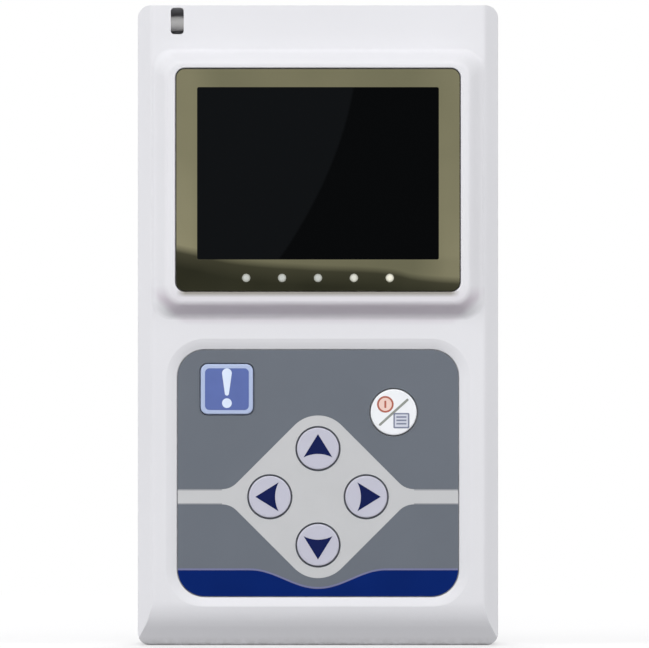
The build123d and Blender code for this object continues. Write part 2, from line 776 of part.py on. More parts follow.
# Screen ribbon, which leaves the module's top edge and bends back to its connector on the board
ribbon_back_y = ribbon_front_y + ribbon_thickness
ribbon_low = ribbon_top - ribbon_thickness
connector_front_y = board_front_y - connector_depth
with BuildPart() as screen_ribbon:
    with BuildSketch(Plane.YZ):
        with BuildLine():
            Polyline((ribbon_front_y, screen_top), (ribbon_front_y, ribbon_top),
                     (connector_front_y, ribbon_top), (connector_front_y, ribbon_low),
                     (ribbon_back_y, ribbon_low), (ribbon_back_y, screen_top), close=True)
        make_face()
        fillet(vertices().sort_by_distance((ribbon_front_y, ribbon_top))[0], ribbon_bend)
        fillet(vertices().sort_by_distance((ribbon_back_y, ribbon_low))[0], ribbon_bend - ribbon_thickness)
    extrude(amount=ribbon_width / 2, both=True)
save(screen_ribbon.part, "screen_ribbon")

with BuildPart() as ribbon_connector:
    plain_block(ribbon_width + 2 * connector_height, connector_height,
                (0, (ribbon_top + ribbon_low) / 2), connector_front_y, board_front_y)
save(ribbon_connector.part, "ribbon_connector")

# Light guide, a clear bar with one pipe for each lamp dot, and the emitters behind it
with BuildPart() as light_guide:
    plain_block(light_bar_width, light_bar_height, (0, lamp_height), light_bar_front_y, light_bar_back_y)
    round_blocks(lamp_diameter, lamp_places, lens_back_y + screen_gap, light_bar_front_y)
save(light_guide.part, "light_guide")

with BuildPart() as lamp_emitters:
    for lamp_place in lamp_places:
        plain_block(emitter_width, emitter_height, lamp_place, board_front_y - emitter_depth, board_front_y)
save(lamp_emitters.part, "lamp_emitters")

# Keypad overlay, a printed sheet on the floor of its recess
with BuildPart() as keypad_overlay:
    rounded_block(overlay_width - 2 * fit_gap, overlay_height - 2 * fit_gap, overlay_corner - fit_gap,
                  (0, (keypad_bottom + keypad_top) / 2), overlay_front_y, overlay_seat_y)
    for key_name in key_centres:
        with BuildSketch(front_plane(overlay_seat_y)):
            key_outline(key_name, key_gap)
        extrude(amount=overlay_thickness, mode=Mode.SUBTRACT)
save(keypad_overlay.part, "keypad_overlay")

# Keys: a cap in the overlay's hole, a flange behind the front wall and a stem down to the switch
for key_name, key_centre in key_centres.items():
    with BuildPart() as key:
        with BuildSketch(front_plane(flange_front_y)):
            key_outline(key_name, 0)
        extrude(amount=flange_front_y - key_face_y)
        fillet(edges().group_by(Axis.Y)[0], key_edge_radius)
        with BuildSketch(front_plane(flange_back_y)):
            key_outline(key_name, key_flange_width)
        extrude(amount=key_flange_thickness)
        round_blocks(key_stem_diameter, [key_centre], flange_back_y, plunger_top_y)
    save(key.part, key_name)
    with BuildPart() as plunger:
        round_blocks(plunger_diameter, [key_centre], plunger_top_y, plunger_bottom_y)
    save(plunger.part, f"{key_name}_plunger")

# Switch housings on the board, one under each key
with BuildPart() as switch_housings:
    for key_centre in key_centres.values():
        plain_block(switch_size, switch_size, key_centre, switch_top_y, board_front_y)
    round_blocks(plunger_diameter + 2 * plunger_clearance, list(key_centres.values()), switch_top_y,
                 plunger_floor_y, Mode.SUBTRACT)
save(switch_housings.part, "switch_housings")

# Main board, with a side tab under the data socket
tab_outer_x = half_width - wall - board_boss_gap
with BuildPart() as main_board:
    rounded_block(2 * board_half_width, board_top - board_bottom, board_corner,
                  (0, (board_top + board_bottom) / 2), board_front_y, board_back_y)
    plain_block(2 * (tab_outer_x - board_half_width), data_width + 2 * socket_tab_margin,
                (board_half_width, data_z), board_front_y, board_back_y)
    round_blocks(board_screw_diameter + 2 * screw_hole_clearance, post_places, board_front_y, board_back_y,
                 Mode.SUBTRACT)
save(main_board.part, "main_board")

# Chips, sounder and back-up cell on the back of the board, above the battery tray
chips_z = lead_bottom - chip_row - processor_size / 2
parts_z = chips_z - processor_size / 2 - chip_row - coin_cell_diameter / 2 - coin_holder_wall
parts_x = board_half_width / 2
chip_back_y = board_back_y + chip_thickness
with BuildPart() as board_chips:
    plain_block(processor_size, processor_size, (-parts_x, chips_z), board_back_y, chip_back_y)
    plain_block(memory_width, memory_height, (parts_x, chips_z), board_back_y, chip_back_y)
    plain_block(chip_row, chip_row, (0, chips_z), board_back_y, chip_back_y)
    plain_block(chip_row, chip_row, (0, parts_z), board_back_y, chip_back_y)
save(board_chips.part, "board_chips")

with BuildPart() as sounder:
    round_blocks(sounder_diameter, [(-parts_x, parts_z)], board_back_y, board_back_y + sounder_height)
    round_blocks(sounder_port_diameter, [(-parts_x, parts_z)],
                 board_back_y + sounder_height - sounder_port_depth, board_back_y + sounder_height,
                 Mode.SUBTRACT)
save(sounder.part, "sounder")

coin_seat_y = board_back_y + coin_holder_wall
with BuildPart() as coin_cell_holder:
    round_blocks(coin_cell_diameter + 2 * coin_holder_wall, [(parts_x, parts_z)], board_back_y,
                 coin_seat_y + coin_cell_thickness)
    round_blocks(coin_cell_diameter + 2 * fit_gap, [(parts_x, parts_z)], coin_seat_y,
                 coin_seat_y + coin_cell_thickness, Mode.SUBTRACT)
save(coin_cell_holder.part, "coin_cell_holder")

with BuildPart() as coin_cell:
    round_blocks(coin_cell_diameter, [(parts_x, parts_z)], coin_seat_y, coin_seat_y + coin_cell_thickness)
    chamfer(edges().group_by(Axis.Y)[-1], coin_cell_edge)
save(coin_cell.part, "coin_cell")

# Lead socket: a moulded housing open at the top end, with two rows of pins through its floor
lead_top = case_height - socket_set_back
with BuildPart() as lead_pins_grid:
    with BuildSketch(Plane.XY.offset(lead_bottom - lead_pin_tail)):
        with Locations((0, lead_y)):
            with GridLocations(lead_pin_pitch, lead_pin_row_pitch, lead_pin_columns, lead_pin_rows):
                Circle(lead_pin_diameter / 2)
    extrude(amount=lead_pin_tail + lead_floor + lead_pin_height)
save(lead_pins_grid.part, "lead_socket_pins")

with BuildPart() as lead_socket_housing:
    with BuildSketch(Plane.XY.offset(lead_bottom)):
        with Locations((0, lead_y)):
            Rectangle(lead_width, lead_depth)
    extrude(amount=lead_top - lead_bottom)
    with BuildSketch(Plane.XY.offset(lead_floor_z)):
        with Locations((0, lead_y)):
            Rectangle(lead_mouth_width, lead_mouth_depth)
    extrude(amount=case_height - lead_floor_z, mode=Mode.SUBTRACT)
    with BuildSketch(Plane.XY.offset(lead_bottom)):
        with Locations((0, lead_y)):
            with GridLocations(lead_pin_pitch, lead_pin_row_pitch, lead_pin_columns, lead_pin_rows):
                Circle(lead_pin_diameter / 2 + lead_pin_clearance)
    extrude(amount=lead_floor, mode=Mode.SUBTRACT)
save(lead_socket_housing.part, "lead_socket_housing")

# Data socket: a folded metal shell open at the right side, its moulded insert and its contacts
data_outer_x = half_width - socket_set_back
data_insert_x = data_inner_x + data_insert_length
with BuildPart() as data_socket_shell:
    with BuildSketch(Plane.YZ.offset(data_inner_x)):
        with Locations((data_y, data_z)):
            Rectangle(data_depth, data_width)
            Rectangle(data_depth - 2 * data_wall, data_width - 2 * data_wall, mode=Mode.SUBTRACT)
    extrude(amount=data_outer_x - data_inner_x)
save(data_socket_shell.part, "data_socket_shell")

with BuildPart() as data_socket_insert:
    with BuildSketch(Plane.YZ.offset(data_inner_x)):
        with Locations((data_y, data_z)):
            Rectangle(data_depth - 2 * data_wall, data_width - 2 * data_wall)
    extrude(amount=data_insert_length)
    with BuildSketch(Plane.YZ.offset(data_insert_x)):
        with Locations((data_y, data_z)):
            Rectangle(data_tongue_thickness, data_tongue_width)
    extrude(amount=data_tongue_length)
save(data_socket_insert.part, "data_socket_insert")

with BuildPart() as data_socket_contacts:
    with BuildSketch(Plane.YZ.offset(data_insert_x)):
        with Locations((data_y + (data_tongue_thickness + data_contact_thickness) / 2, data_z)):
            with GridLocations(data_contact_thickness, data_contact_pitch, 1, data_contact_count):
                Rectangle(data_contact_thickness, data_contact_width)
    extrude(amount=data_tongue_length - data_contact_set_back)
save(data_socket_contacts.part, "data_socket_contacts")

# Cells, which lie side by side and point opposite ways
cell_body_length = cell_length - cell_nub_height
for name, side, nub_up in (("battery_1", -1, True), ("battery_2", 1, False)):
    cell_bottom = bay_bottom + contact_thickness + (spring_length if nub_up else 0)
    body_bottom = cell_bottom + (0 if nub_up else cell_nub_height)
    nub_bottom = cell_bottom + (cell_body_length if nub_up else 0)
    with BuildPart() as cell:
        with BuildSketch(Plane.XY.offset(body_bottom)):
            with Locations((side * cell_x, cell_y)):
                Circle(cell_diameter / 2)
        extrude(amount=cell_body_length)
        fillet(edges().filter_by(GeomType.CIRCLE), cell_edge_radius)
        with BuildSketch(Plane.XY.offset(nub_bottom)):
            with Locations((side * cell_x, cell_y)):
                Circle(cell_nub_diameter / 2)
        extrude(amount=cell_nub_height)
    save(cell.part, name)

# Contact plates: one bridges both cells at the bottom, and each cell has its own at the top
with BuildPart() as battery_contacts:
    with BuildSketch(Plane.XY.offset(bay_bottom)):
        with Locations((0, cell_y)):
            Rectangle(2 * cell_x + contact_width, contact_height)
    extrude(amount=contact_thickness)
    with BuildSketch(Plane.XY.offset(bay_top - contact_thickness)):
        with Locations((-cell_x, cell_y), (cell_x, cell_y)):
            Rectangle(contact_width, contact_height)
    extrude(amount=contact_thickness)
save(battery_contacts.part, "battery_contacts")

# Contact springs, one at each cell's flat end, each a helix of round wire
spring_radius = (spring_diameter - spring_wire) / 2
spring_rise = spring_length - 2 * spring_end_gap - spring_wire
spring_bottoms = (
    (-cell_x, bay_bottom + contact_thickness + spring_end_gap + spring_wire / 2),
    (cell_x, bay_top - contact_thickness - spring_length + spring_end_gap + spring_wire / 2),
)
spring_arcs = spring_line(spring_radius, spring_rise, spring_turns)
with BuildPart() as battery_springs:
    for spring_x, spring_bottom in spring_bottoms:
        corner = Vector(spring_x, cell_y, spring_bottom)
        with BuildLine() as wire_line:
            for start, end, direction in spring_arcs:
                TangentArc(corner + start, corner + end, tangent=direction)
        with BuildSketch(Plane(origin=wire_line.line @ 0, z_dir=wire_line.line % 0)) as wire_section:
            Circle(spring_wire / 2)
        sweep(wire_section.sketch, path=wire_line.line)
save(battery_springs.part, "battery_springs")
print("least gap between the spring's turns", round(least_turn_gap(spring_arcs), 3), "mm")

# Screws
with BuildPart() as case_screws:
    for screw_place in screw_places:
        cross_screw(screw_place, screw_seat_y, split_y - screw_engagement, screw_diameter,
                    screw_head_diameter, screw_head_height)
save(case_screws.part, "case_screws")

with BuildPart() as board_screws:
    for post_place in post_places:
        cross_screw(post_place, board_back_y, board_front_y - board_screw_engagement, board_screw_diameter,
                    board_screw_head_diameter, board_screw_head_height)
save(board_screws.part, "board_screws")

# Lanyard pin across its slot
with BuildPart() as lanyard_pin:
    with BuildSketch(Plane.YZ.offset(lanyard_x)):
        with Locations((lanyard_pin_y, lanyard_pin_z)):
            Circle(lanyard_pin_diameter / 2)
    extrude(amount=lanyard_slot_width / 2 + lanyard_pin_hold - lanyard_pin_clearance, both=True)
save(lanyard_pin.part, "lanyard_pin")
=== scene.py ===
# %% [markdown]
# # A holter monitor, dressed in Blender
#
# A holter monitor is a pocket recorder that a patient wears for a day or two. This one is a pale
# moulded case with a raised screen, a printed keypad and a row of small lamps. The CAD model
# already holds every piece at its real size, so this script has two jobs. It gives each piece the
# finish of the real one, and it adds what is too thin for CAD, such as the inks on the keypad.
#
# Everything is in metres and in the frame of the CAD model: X runs to the right, Y from the front
# to the back, and Z is up. The first cell loads that model.

# %% Load the frame
import math
import bpy
import numpy as np
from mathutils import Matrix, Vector
from mathutils.geometry import tessellate_polygon


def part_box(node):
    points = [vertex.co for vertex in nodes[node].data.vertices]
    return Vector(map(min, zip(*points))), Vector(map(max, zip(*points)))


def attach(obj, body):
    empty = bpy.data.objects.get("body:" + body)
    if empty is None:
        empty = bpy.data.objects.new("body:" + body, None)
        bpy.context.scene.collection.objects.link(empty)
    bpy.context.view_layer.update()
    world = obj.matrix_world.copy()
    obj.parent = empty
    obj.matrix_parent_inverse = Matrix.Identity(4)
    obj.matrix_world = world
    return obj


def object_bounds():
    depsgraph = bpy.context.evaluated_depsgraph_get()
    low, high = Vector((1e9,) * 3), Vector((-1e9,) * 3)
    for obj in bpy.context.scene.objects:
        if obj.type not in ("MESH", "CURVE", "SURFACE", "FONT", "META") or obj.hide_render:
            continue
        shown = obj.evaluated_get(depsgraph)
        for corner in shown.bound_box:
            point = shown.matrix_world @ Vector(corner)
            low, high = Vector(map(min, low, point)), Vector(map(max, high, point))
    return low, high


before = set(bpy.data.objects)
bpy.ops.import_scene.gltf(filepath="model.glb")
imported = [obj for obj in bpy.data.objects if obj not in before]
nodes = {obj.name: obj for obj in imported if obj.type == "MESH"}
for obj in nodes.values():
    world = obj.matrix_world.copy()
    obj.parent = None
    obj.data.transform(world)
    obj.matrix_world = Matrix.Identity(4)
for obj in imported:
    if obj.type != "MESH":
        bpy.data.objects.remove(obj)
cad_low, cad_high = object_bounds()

MM = 0.001

# %% [markdown]
# ## Reading places from the CAD
#
# A print sits on a face of the CAD model, so its place is read from the model and not typed in
# again. Two helpers give a node's box and its middle, in millimetres. The keys' centres then follow
# from their own boxes, and the keypad's and the lens's edges from theirs.

# %% Boxes of the pieces that carry prints
def box_mm(node):
    """Lowest and highest corner of a CAD node, in millimetres, as two arrays."""
    low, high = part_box(node)
    return np.array(low) / MM, np.array(high) / MM


def middle(node):
    """Middle of a CAD node as seen from the front, as X and Z in millimetres."""
    low, high = box_mm(node)
    return np.array([(low[0] + high[0]) / 2, (low[2] + high[2]) / 2])


overlay_low, overlay_high = box_mm("keypad_overlay")
lens_low, lens_high = box_mm("display_lens")
case_low = box_mm("front_case")[0]
KEY_NAMES = ("up_key", "down_key", "left_key", "right_key", "mark_key", "power_menu_key")
key_middle = {name: middle(name) for name in KEY_NAMES}
key_front = box_mm("up_key")[0][1]
pad = (key_middle["left_key"] + key_middle["right_key"]) / 2
print("pad middle", pad.round(2), "key faces at", round(float(key_front), 2))

# %% [markdown]
# ## Outlines from formulas
#
# Every print is a flat outline seen from the front. An outline is an array of points that runs
# anticlockwise, and each stretch of it comes from a formula: a straight line needs only its ends,
# and an arc is its centre plus a radius times the cosine and the sine of an evenly spaced angle.

# %% Arcs, circles and rounded rectangles
def arc(centre, radius, start, end, steps=12):
    """Points on a circle, from the start angle to the end angle, in degrees."""
    angle = np.radians(np.linspace(start, end, steps + 1))
    return np.asarray(centre) + radius * np.stack([np.cos(angle), np.sin(angle)], axis=1)


def circle(centre, radius, steps=96):
    """A full circle, whose last point isn't repeated."""
    return arc(centre, radius, 0, 360, steps)[:-1]


def rounded_rectangle(low, high, radius, steps=12):
    """A quarter arc at each corner of the rectangle from low to high, joined by straight edges."""
    (x0, z0), (x1, z1) = low, high
    r = radius
    return np.concatenate([
        arc((x1 - r, z0 + r), r, -90, 0, steps), arc((x1 - r, z1 - r), r, 0, 90, steps),
        arc((x0 + r, z1 - r), r, 90, 180, steps), arc((x0 + r, z0 + r), r, 180, 270, steps),
    ])


def turned(outline, degrees):
    """The outline turned anticlockwise about the origin: x cos - z sin, x sin + z cos."""
    c, s = math.cos(math.radians(degrees)), math.sin(math.radians(degrees))
    return outline @ np.array([[c, s], [-s, c]])


# %% [markdown]
# ## From arrays to a piece that moves
#
# Every added piece ends in the same steps: its points and faces become a mesh, the mesh becomes an
# object at the origin, and the object rides a body of the CAD model. A sign on a key rides that key,
# so it sinks with it.

# %% Add a piece
def add_piece(name, points_mm, faces, material, body):
    """An object from points in millimetres and lists of their numbers, riding a body."""
    mesh = bpy.data.meshes.new(name)
    mesh.from_pydata((points_mm * MM).tolist(), [], faces)
    mesh.validate()
    mesh.materials.append(material)
    piece = bpy.data.objects.new(name, mesh)
    bpy.context.scene.collection.objects.link(piece)
    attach(piece, body)
    print(name, "rides", body, "and has", len(faces), "faces")
    return piece


# %% [markdown]
# ## A layer of ink as a closed solid
#
# Screen-printed ink is a film a few hundredths of a millimetre thick. Painting it with a texture
# would blur its edges, so each film is a real thin solid. Its front and back are the same flat
# outline cut into triangles, with holes where keys and lamps come through, and its wall joins each
# edge of the front to the same edge of the back.

# %% Ink layer
INK = 0.02
SMALLEST_FACE = 1e-9


def ink(name, outline, front, material, body, holes=()):
    """A flat closed solid: the outline less its holes, from depth front to front + INK.

    Each loop's wall is one quad per edge. The caps' triangles are turned to face outwards by the
    sign of their area, which is half the cross product of two of their edges.
    """
    loops = [np.asarray(loop, float) for loop in (outline, *holes)]
    flat = np.concatenate(loops)
    count = len(flat)
    triangles = np.array(tessellate_polygon([[Vector((x, z, 0)) for x, z in loop] for loop in loops]))
    a, b, c = flat[triangles].transpose(1, 0, 2)
    area = (b - a)[:, 0] * (c - a)[:, 1] - (b - a)[:, 1] * (c - a)[:, 0]
    real = np.abs(area) > SMALLEST_FACE
    triangles, area = triangles[real], area[real]
    triangles[area < 0] = triangles[area < 0][:, ::-1]
    walls = []
    start = 0
    for i, loop in enumerate(loops):
        index = start + np.arange(len(loop))
        following = start + (np.arange(len(loop)) + 1) % len(loop)
        x, z = loop.T
        anticlockwise = np.sum(x * np.roll(z, -1) - np.roll(x, -1) * z) > 0
        wall = np.stack([index, index + count, following + count, following], axis=1)
        walls.append(wall if anticlockwise == (i == 0) else wall[:, ::-1])
        start += len(loop)
    depth = np.repeat([front, front + INK], count)
    points = np.stack([np.tile(flat[:, 0], 2), depth, np.tile(flat[:, 1], 2)], axis=1)
    faces = triangles.tolist() + (triangles[:, ::-1] + count).tolist() + np.concatenate(walls).tolist()
    return add_piece(name, points, faces, material, body)


# %% [markdown]
# ## Building materials from nodes
#
# A material is a small network: textures make masks, masks mix colours, and one shader takes them
# in. Small helpers keep that network short to write: they add a node and fill its inputs, do one
# step of arithmetic, stretch a range, mix two colours or read a place. Colours are written as a paint
# chart gives them, from 0 to 255, and turned into the linear values that Blender calculates with. A
# material reads places in metres, so the lengths in a finish are in metres, or times MM.

# %% Node helpers
def paint(red, green, blue):
    """A chart colour as linear light: (c / 12.92) when dark, else ((c + 0.055) / 1.055) ** 2.4."""
    c = np.array([red, green, blue]) / 255
    linear = np.where(c <= 0.04045, c / 12.92, ((c + 0.055) / 1.055) ** 2.4)
    return (*linear.tolist(), 1.0)


def add_node(tree, kind, inputs=(), **settings):
    """Add a node, set its properties, then fill its inputs: sockets are linked, the rest are values."""
    made = tree.nodes.new(kind)
    for name, value in settings.items():
        setattr(made, name, value)
    for key, value in dict(inputs).items():
        if isinstance(value, bpy.types.NodeSocket):
            tree.links.new(value, made.inputs[key])
        else:
            made.inputs[key].default_value = value
    return made


def calc(tree, operation, *values, clamp=False):
    """One step of arithmetic on sockets or numbers."""
    made = add_node(tree, "ShaderNodeMath", enumerate(values), operation=operation, use_clamp=clamp)
    return made.outputs[0]


def mix_colours(tree, mask, first, second):
    """The first colour where the mask is 0 and the second where it is 1."""
    made = add_node(tree, "ShaderNodeMix", {0: mask, 6: first, 7: second}, data_type="RGBA")
    return made.outputs[2]


def remap(tree, value, low, high, new_low=0.0, new_high=1.0):
    """Stretch the range low to high onto new_low to new_high, held at both ends."""
    made = add_node(tree, "ShaderNodeMapRange", {0: value, 1: low, 2: high, 3: new_low, 4: new_high})
    return made.outputs[0]


def object_point(tree):
    """The place on the piece, in metres, as a vector."""
    return add_node(tree, "ShaderNodeTexCoord").outputs["Object"]


def object_place(tree):
    """The same place as three numbers: the outputs X, Y and Z."""
    return add_node(tree, "ShaderNodeSeparateXYZ", {0: object_point(tree)}).outputs


# %% [markdown]
# ## Effects that several finishes share
#
# Moulded plastic is never perfectly even. Its tool leaves a fine spark-eroded grain, handling
# polishes the edges, and dust settles in the corners, where its grey also paints the shade. Each
# effect is a node group, built once, with its strength as an input, and every material places it
# with its own values.

# %% Shared effect groups
def new_group(name, inputs, outputs):
    """An empty shader group with number inputs and the outputs given as name: kind."""
    tree = bpy.data.node_groups.new(name, "ShaderNodeTree")
    for title, value in inputs.items():
        socket = tree.interface.new_socket(title, in_out="INPUT", socket_type="NodeSocketFloat")
        socket.default_value = value
    for title, kind in outputs.items():
        tree.interface.new_socket(title, in_out="OUTPUT", socket_type=kind)
    return tree, tree.nodes.new("NodeGroupInput").outputs, tree.nodes.new("NodeGroupOutput").inputs


def make_grain():
    """Spark-eroded grain: a fine noise for the height and a wide slow noise for uneven colour."""
    tree, given, out = new_group("Moulded grain", {"Size": 0.0003, "Patch Size": 0.02},
                                 {"Height": "NodeSocketFloat", "Patches": "NodeSocketFloat"})
    place = object_point(tree)
    fine = add_node(tree, "ShaderNodeTexNoise", {
        "Vector": place, "Detail": 3.0, "Roughness": 0.6,
        "Scale": calc(tree, "DIVIDE", 1.0, given["Size"])})
    wide = add_node(tree, "ShaderNodeTexNoise", {
        "Vector": place, "Detail": 2.0, "Scale": calc(tree, "DIVIDE", 1.0, given["Patch Size"])})
    tree.links.new(fine.outputs[0], out["Height"])
    tree.links.new(remap(tree, wide.outputs[0], 0.3, 0.7), out["Patches"])
    return tree


def make_edge_wear_and_highlight():
    """Worn edges and painted edge highlights: how far the rounded normal leans from the flat one,
    broken up by a noise.
    """
    tree, given, out = new_group("Edge wear and highlight", {"Width": 0.0004, "Amount": 1.0, "Break Size": 0.003},
                                 {"Mask": "NodeSocketFloat"})
    rounded = add_node(tree, "ShaderNodeBevel", {"Radius": given["Width"]}, samples=4)
    flat = add_node(tree, "ShaderNodeNewGeometry")
    lean = add_node(tree, "ShaderNodeVectorMath", {0: rounded.outputs[0], 1: flat.outputs["Normal"]},
                    operation="DOT_PRODUCT")
    edge = remap(tree, lean.outputs["Value"], 0.99, 0.8)
    noise = add_node(tree, "ShaderNodeTexNoise", {
        "Vector": object_point(tree), "Detail": 4.0,
        "Scale": calc(tree, "DIVIDE", 1.0, given["Break Size"])})
    broken = calc(tree, "MULTIPLY", edge, remap(tree, noise.outputs[0], 0.35, 0.6))
    tree.links.new(calc(tree, "MULTIPLY", broken, given["Amount"], clamp=True), out["Mask"])
    return tree


def make_dust_and_shade():
    """Dust and painted shade in corners: how much nearby surface hides the sky, times a fine speckle.
    """
    tree, given, out = new_group("Corner dust and shade", {"Reach": 0.0015, "Amount": 1.0},
                                 {"Mask": "NodeSocketFloat"})
    hidden = add_node(tree, "ShaderNodeAmbientOcclusion", {"Distance": given["Reach"]}, samples=4)
    corner = remap(tree, hidden.outputs["AO"], 0.9, 0.3)
    noise = add_node(tree, "ShaderNodeTexNoise", {"Vector": object_point(tree), "Detail": 3.0,
                                                  "Scale": 900.0})
    speckle = calc(tree, "MULTIPLY", corner, remap(tree, noise.outputs[0], 0.3, 0.6))
    tree.links.new(calc(tree, "MULTIPLY", speckle, given["Amount"], clamp=True), out["Mask"])
    return tree


GRAIN = make_grain()
EDGE_WEAR_AND_HIGHLIGHT = make_edge_wear_and_highlight()
DUST_AND_SHADE = make_dust_and_shade()
print("effect groups:", [g.name for g in bpy.data.node_groups])

# %% [markdown]
# ## One recipe for moulded, coated and plated surfaces
#
# Most finishes here differ only in colour, gloss, grain and how much they show wear. One function
# builds such a material from those few numbers, with all three shared effects in it. The uniform
# numbers, such as the specular level, are set on the shader itself.

# %% The common recipe
def place_group(tree, group, **inputs):
    """Put a shared group into a material, with its values. Underscores in names stand for spaces."""
    made = add_node(tree, "ShaderNodeGroup", node_tree=group)
    for name, value in inputs.items():
        made.inputs[name.replace("_", " ")].default_value = value
    return made


def new_material(name):
    """A material with an empty Principled shader. Returns it, its tree and the shader."""
    material = bpy.data.materials.new(name)
    material.use_nodes = True
    tree = material.node_tree
    return material, tree, tree.nodes["Principled BSDF"]


# Grey of the dust and painted shade in corners.
DUST_AND_SHADE_GREY = paint(120, 116, 108)
GLOSS_SPREAD = 0.08
EDGE_POLISH = 0.12


def finish(name, colour, roughness=0.5, metallic=0.0, specular=0.5, grain=0.0003, bump=0.15,
           relief=0.00002, variation=0.06, patch=0.02, wear=0.3, worn=None, dust_and_shade=0.2):
    """A moulded, printed or plated finish from its colour, gloss, grain and wear.

    Roughness varies by GLOSS_SPREAD of itself from patch to patch, and worn edges lose EDGE_POLISH.
    """
    material, tree, shader = new_material(name)
    texture = place_group(tree, GRAIN, Size=grain, Patch_Size=patch)
    darker = tuple(c * (1 - variation) for c in colour[:3]) + (1.0,)
    base = mix_colours(tree, texture.outputs["Patches"], colour, darker)
    edge = place_group(tree, EDGE_WEAR_AND_HIGHLIGHT, Amount=wear)
    base = mix_colours(tree, edge.outputs["Mask"], base, worn or colour)
    # Dust and painted shade in the corners, by how much nearby surface hides the sky.
    corner = place_group(tree, DUST_AND_SHADE, Amount=dust_and_shade)
    base = mix_colours(tree, corner.outputs["Mask"], base, DUST_AND_SHADE_GREY)
    gloss = remap(tree, texture.outputs["Patches"], 0.0, 1.0,
                  roughness * (1 - GLOSS_SPREAD), roughness * (1 + GLOSS_SPREAD))
    polish = calc(tree, "MULTIPLY", edge.outputs["Mask"], EDGE_POLISH)
    gloss = calc(tree, "SUBTRACT", gloss, polish, clamp=True)
    raised = add_node(tree, "ShaderNodeBump", {"Strength": bump, "Distance": relief,
                                               "Height": texture.outputs["Height"]})
    for socket, value in (("Base Color", base), ("Roughness", gloss), ("Normal", raised.outputs[0])):
        tree.links.new(value, shader.inputs[socket])
    shader.inputs["Metallic"].default_value = metallic
    shader.inputs["Specular IOR Level"].default_value = specular
    return material


def print_finish(name, colour, variation, patch=0.002, roughness=0.45, specular=0.25, grain=0.0002,
                 bump=0.1, dust_and_shade=0.0):
    """A screen-printed ink: the same recipe with a fine grain and no worn edges."""
    return finish(name, colour, roughness=roughness, specular=specular, grain=grain, bump=bump,
                  variation=variation, patch=patch, wear=0.0, dust_and_shade=dust_and_shade)


def dress(material, *names):
    """Give CAD nodes a material through their own slots."""
    for name in names:
        for material_slot in nodes[name].material_slots:
            material_slot.material = material
    print(material.name, "dresses", *names)


# %% [markdown]
# ## The case
#
# Both shells and the battery door are moulded in the same cool white plastic, with a fine satin
# grain that hides fingerprints. The grain is about a third of a millimetre wide and very shallow,
# so it only softens the highlights.

# %% Case
case_white = finish("case_white", paint(226, 226, 230), roughness=0.48, specular=0.35, grain=0.00035,
                    bump=0.25, relief=0.00003, variation=0.025, patch=0.03, wear=0.5,
                    worn=paint(238, 238, 240), dust_and_shade=0.25)
dress(case_white, "front_case", "rear_case", "battery_door")

# %% [markdown]
# A soft grey line of painted shade lies where the lens meets the raised frame, along its lower
# edge, under the lens. A fainter veil of painted shade lies on the slope under the frame, which
# faces down. Both are masks that follow the piece's own depth and height. They end where the slope
# does, because the back shell has the same plastic at that height.

# %% Painted shade: grey line and veil under the lens
# Each pair holds the two places between which a mask changes, in millimetres: above the lens's lower
# edge (LINE_FOOT, LINE_TOP, VEIL_TOP, VEIL_FOOT), outside its side (LINE_SIDE, VEIL_CORNER) or behind
# the case's front (FRAME_EDGE, SLOPE_TOE).
LINE_FOOT, LINE_TOP, LINE_SIDE = (-1.08, -0.42), (0.0, 0.05), (-1.5, 0.0)
VEIL_TOP, VEIL_FOOT, VEIL_CORNER = (-1.4, 1.0), (-5.8, -4.9), (3.65, 5.25)
FRAME_EDGE, SLOPE_TOE = (0.02, 0.4), (1.9, 2.4)
VEIL_ON_FRAME, VEIL_ON_SLOPE, VEIL_AT_TOE = 0.14, 0.385, 0.5
SLOPE_DEPTH = 2.9
# Greys of the painted shade: the line under the lens and the veil on the slope.
SHADE_LINE_GREY = paint(152, 148, 142)
SLOPE_SHADE_GREY = paint(170, 146, 166)


def painted_shade_under_lens(material):
    """Mix in painted shade by two masks: a faintly violet veil on the slope, and a line under the lens.

    The line falls off with the distance below the lens and at the lens's two sides. The veil grows
    as the slope goes back from the frame, halves at its toe and fades out above and below it, and
    where the distance from the middle plus the distance below the lens grows large.
    """
    tree = material.node_tree
    shader = tree.nodes["Principled BSDF"]
    place = object_place(tree)
    edge, side, front = float(lens_low[2]), float(lens_high[0]), float(case_low[1])

    def ramp(value, origin, between_mm, first, last):
        low, high = between_mm
        return remap(tree, value, (origin + low) * MM, (origin + high) * MM, first, last)

    def product(first, *others):
        for other in others:
            first = calc(tree, "MULTIPLY", first, other)
        return first

    aside = calc(tree, "ABSOLUTE", place["X"])
    line = product(ramp(place["Z"], edge, LINE_FOOT, 0.0, 1.0),
                   ramp(place["Z"], edge, LINE_TOP, 1.0, 0.0), ramp(aside, side, LINE_SIDE, 1.0, 0.0))
    away = calc(tree, "ADD", aside, calc(tree, "SUBTRACT", edge * MM, place["Z"]))
    veil = product(ramp(place["Y"], front, FRAME_EDGE, VEIL_ON_FRAME, VEIL_ON_SLOPE),
                   ramp(place["Y"], front, SLOPE_TOE, 1.0, VEIL_AT_TOE),
                   product(ramp(place["Z"], edge, VEIL_TOP, 1.0, 0.0),
                           ramp(place["Z"], edge, VEIL_FOOT, 0.0, 1.0)),
                   ramp(away, side, VEIL_CORNER, 1.0, 0.0))
    in_front = calc(tree, "LESS_THAN", place["Y"], (front + SLOPE_DEPTH) * MM)
    # Painted shade: the veil and the line darken the case's own colour in front of the slope's end.
    colour = shader.inputs["Base Color"].links[0].from_socket
    for mask, grey in ((veil, SLOPE_SHADE_GREY), (line, SHADE_LINE_GREY)):
        colour = mix_colours(tree, product(mask, in_front), colour, grey)
    tree.links.new(colour, shader.inputs["Base Color"])


painted_shade_under_lens(case_white)
print("grey line ends", -LINE_FOOT[0], "mm below the lens, and the veil", -VEIL_FOOT[0], "mm")
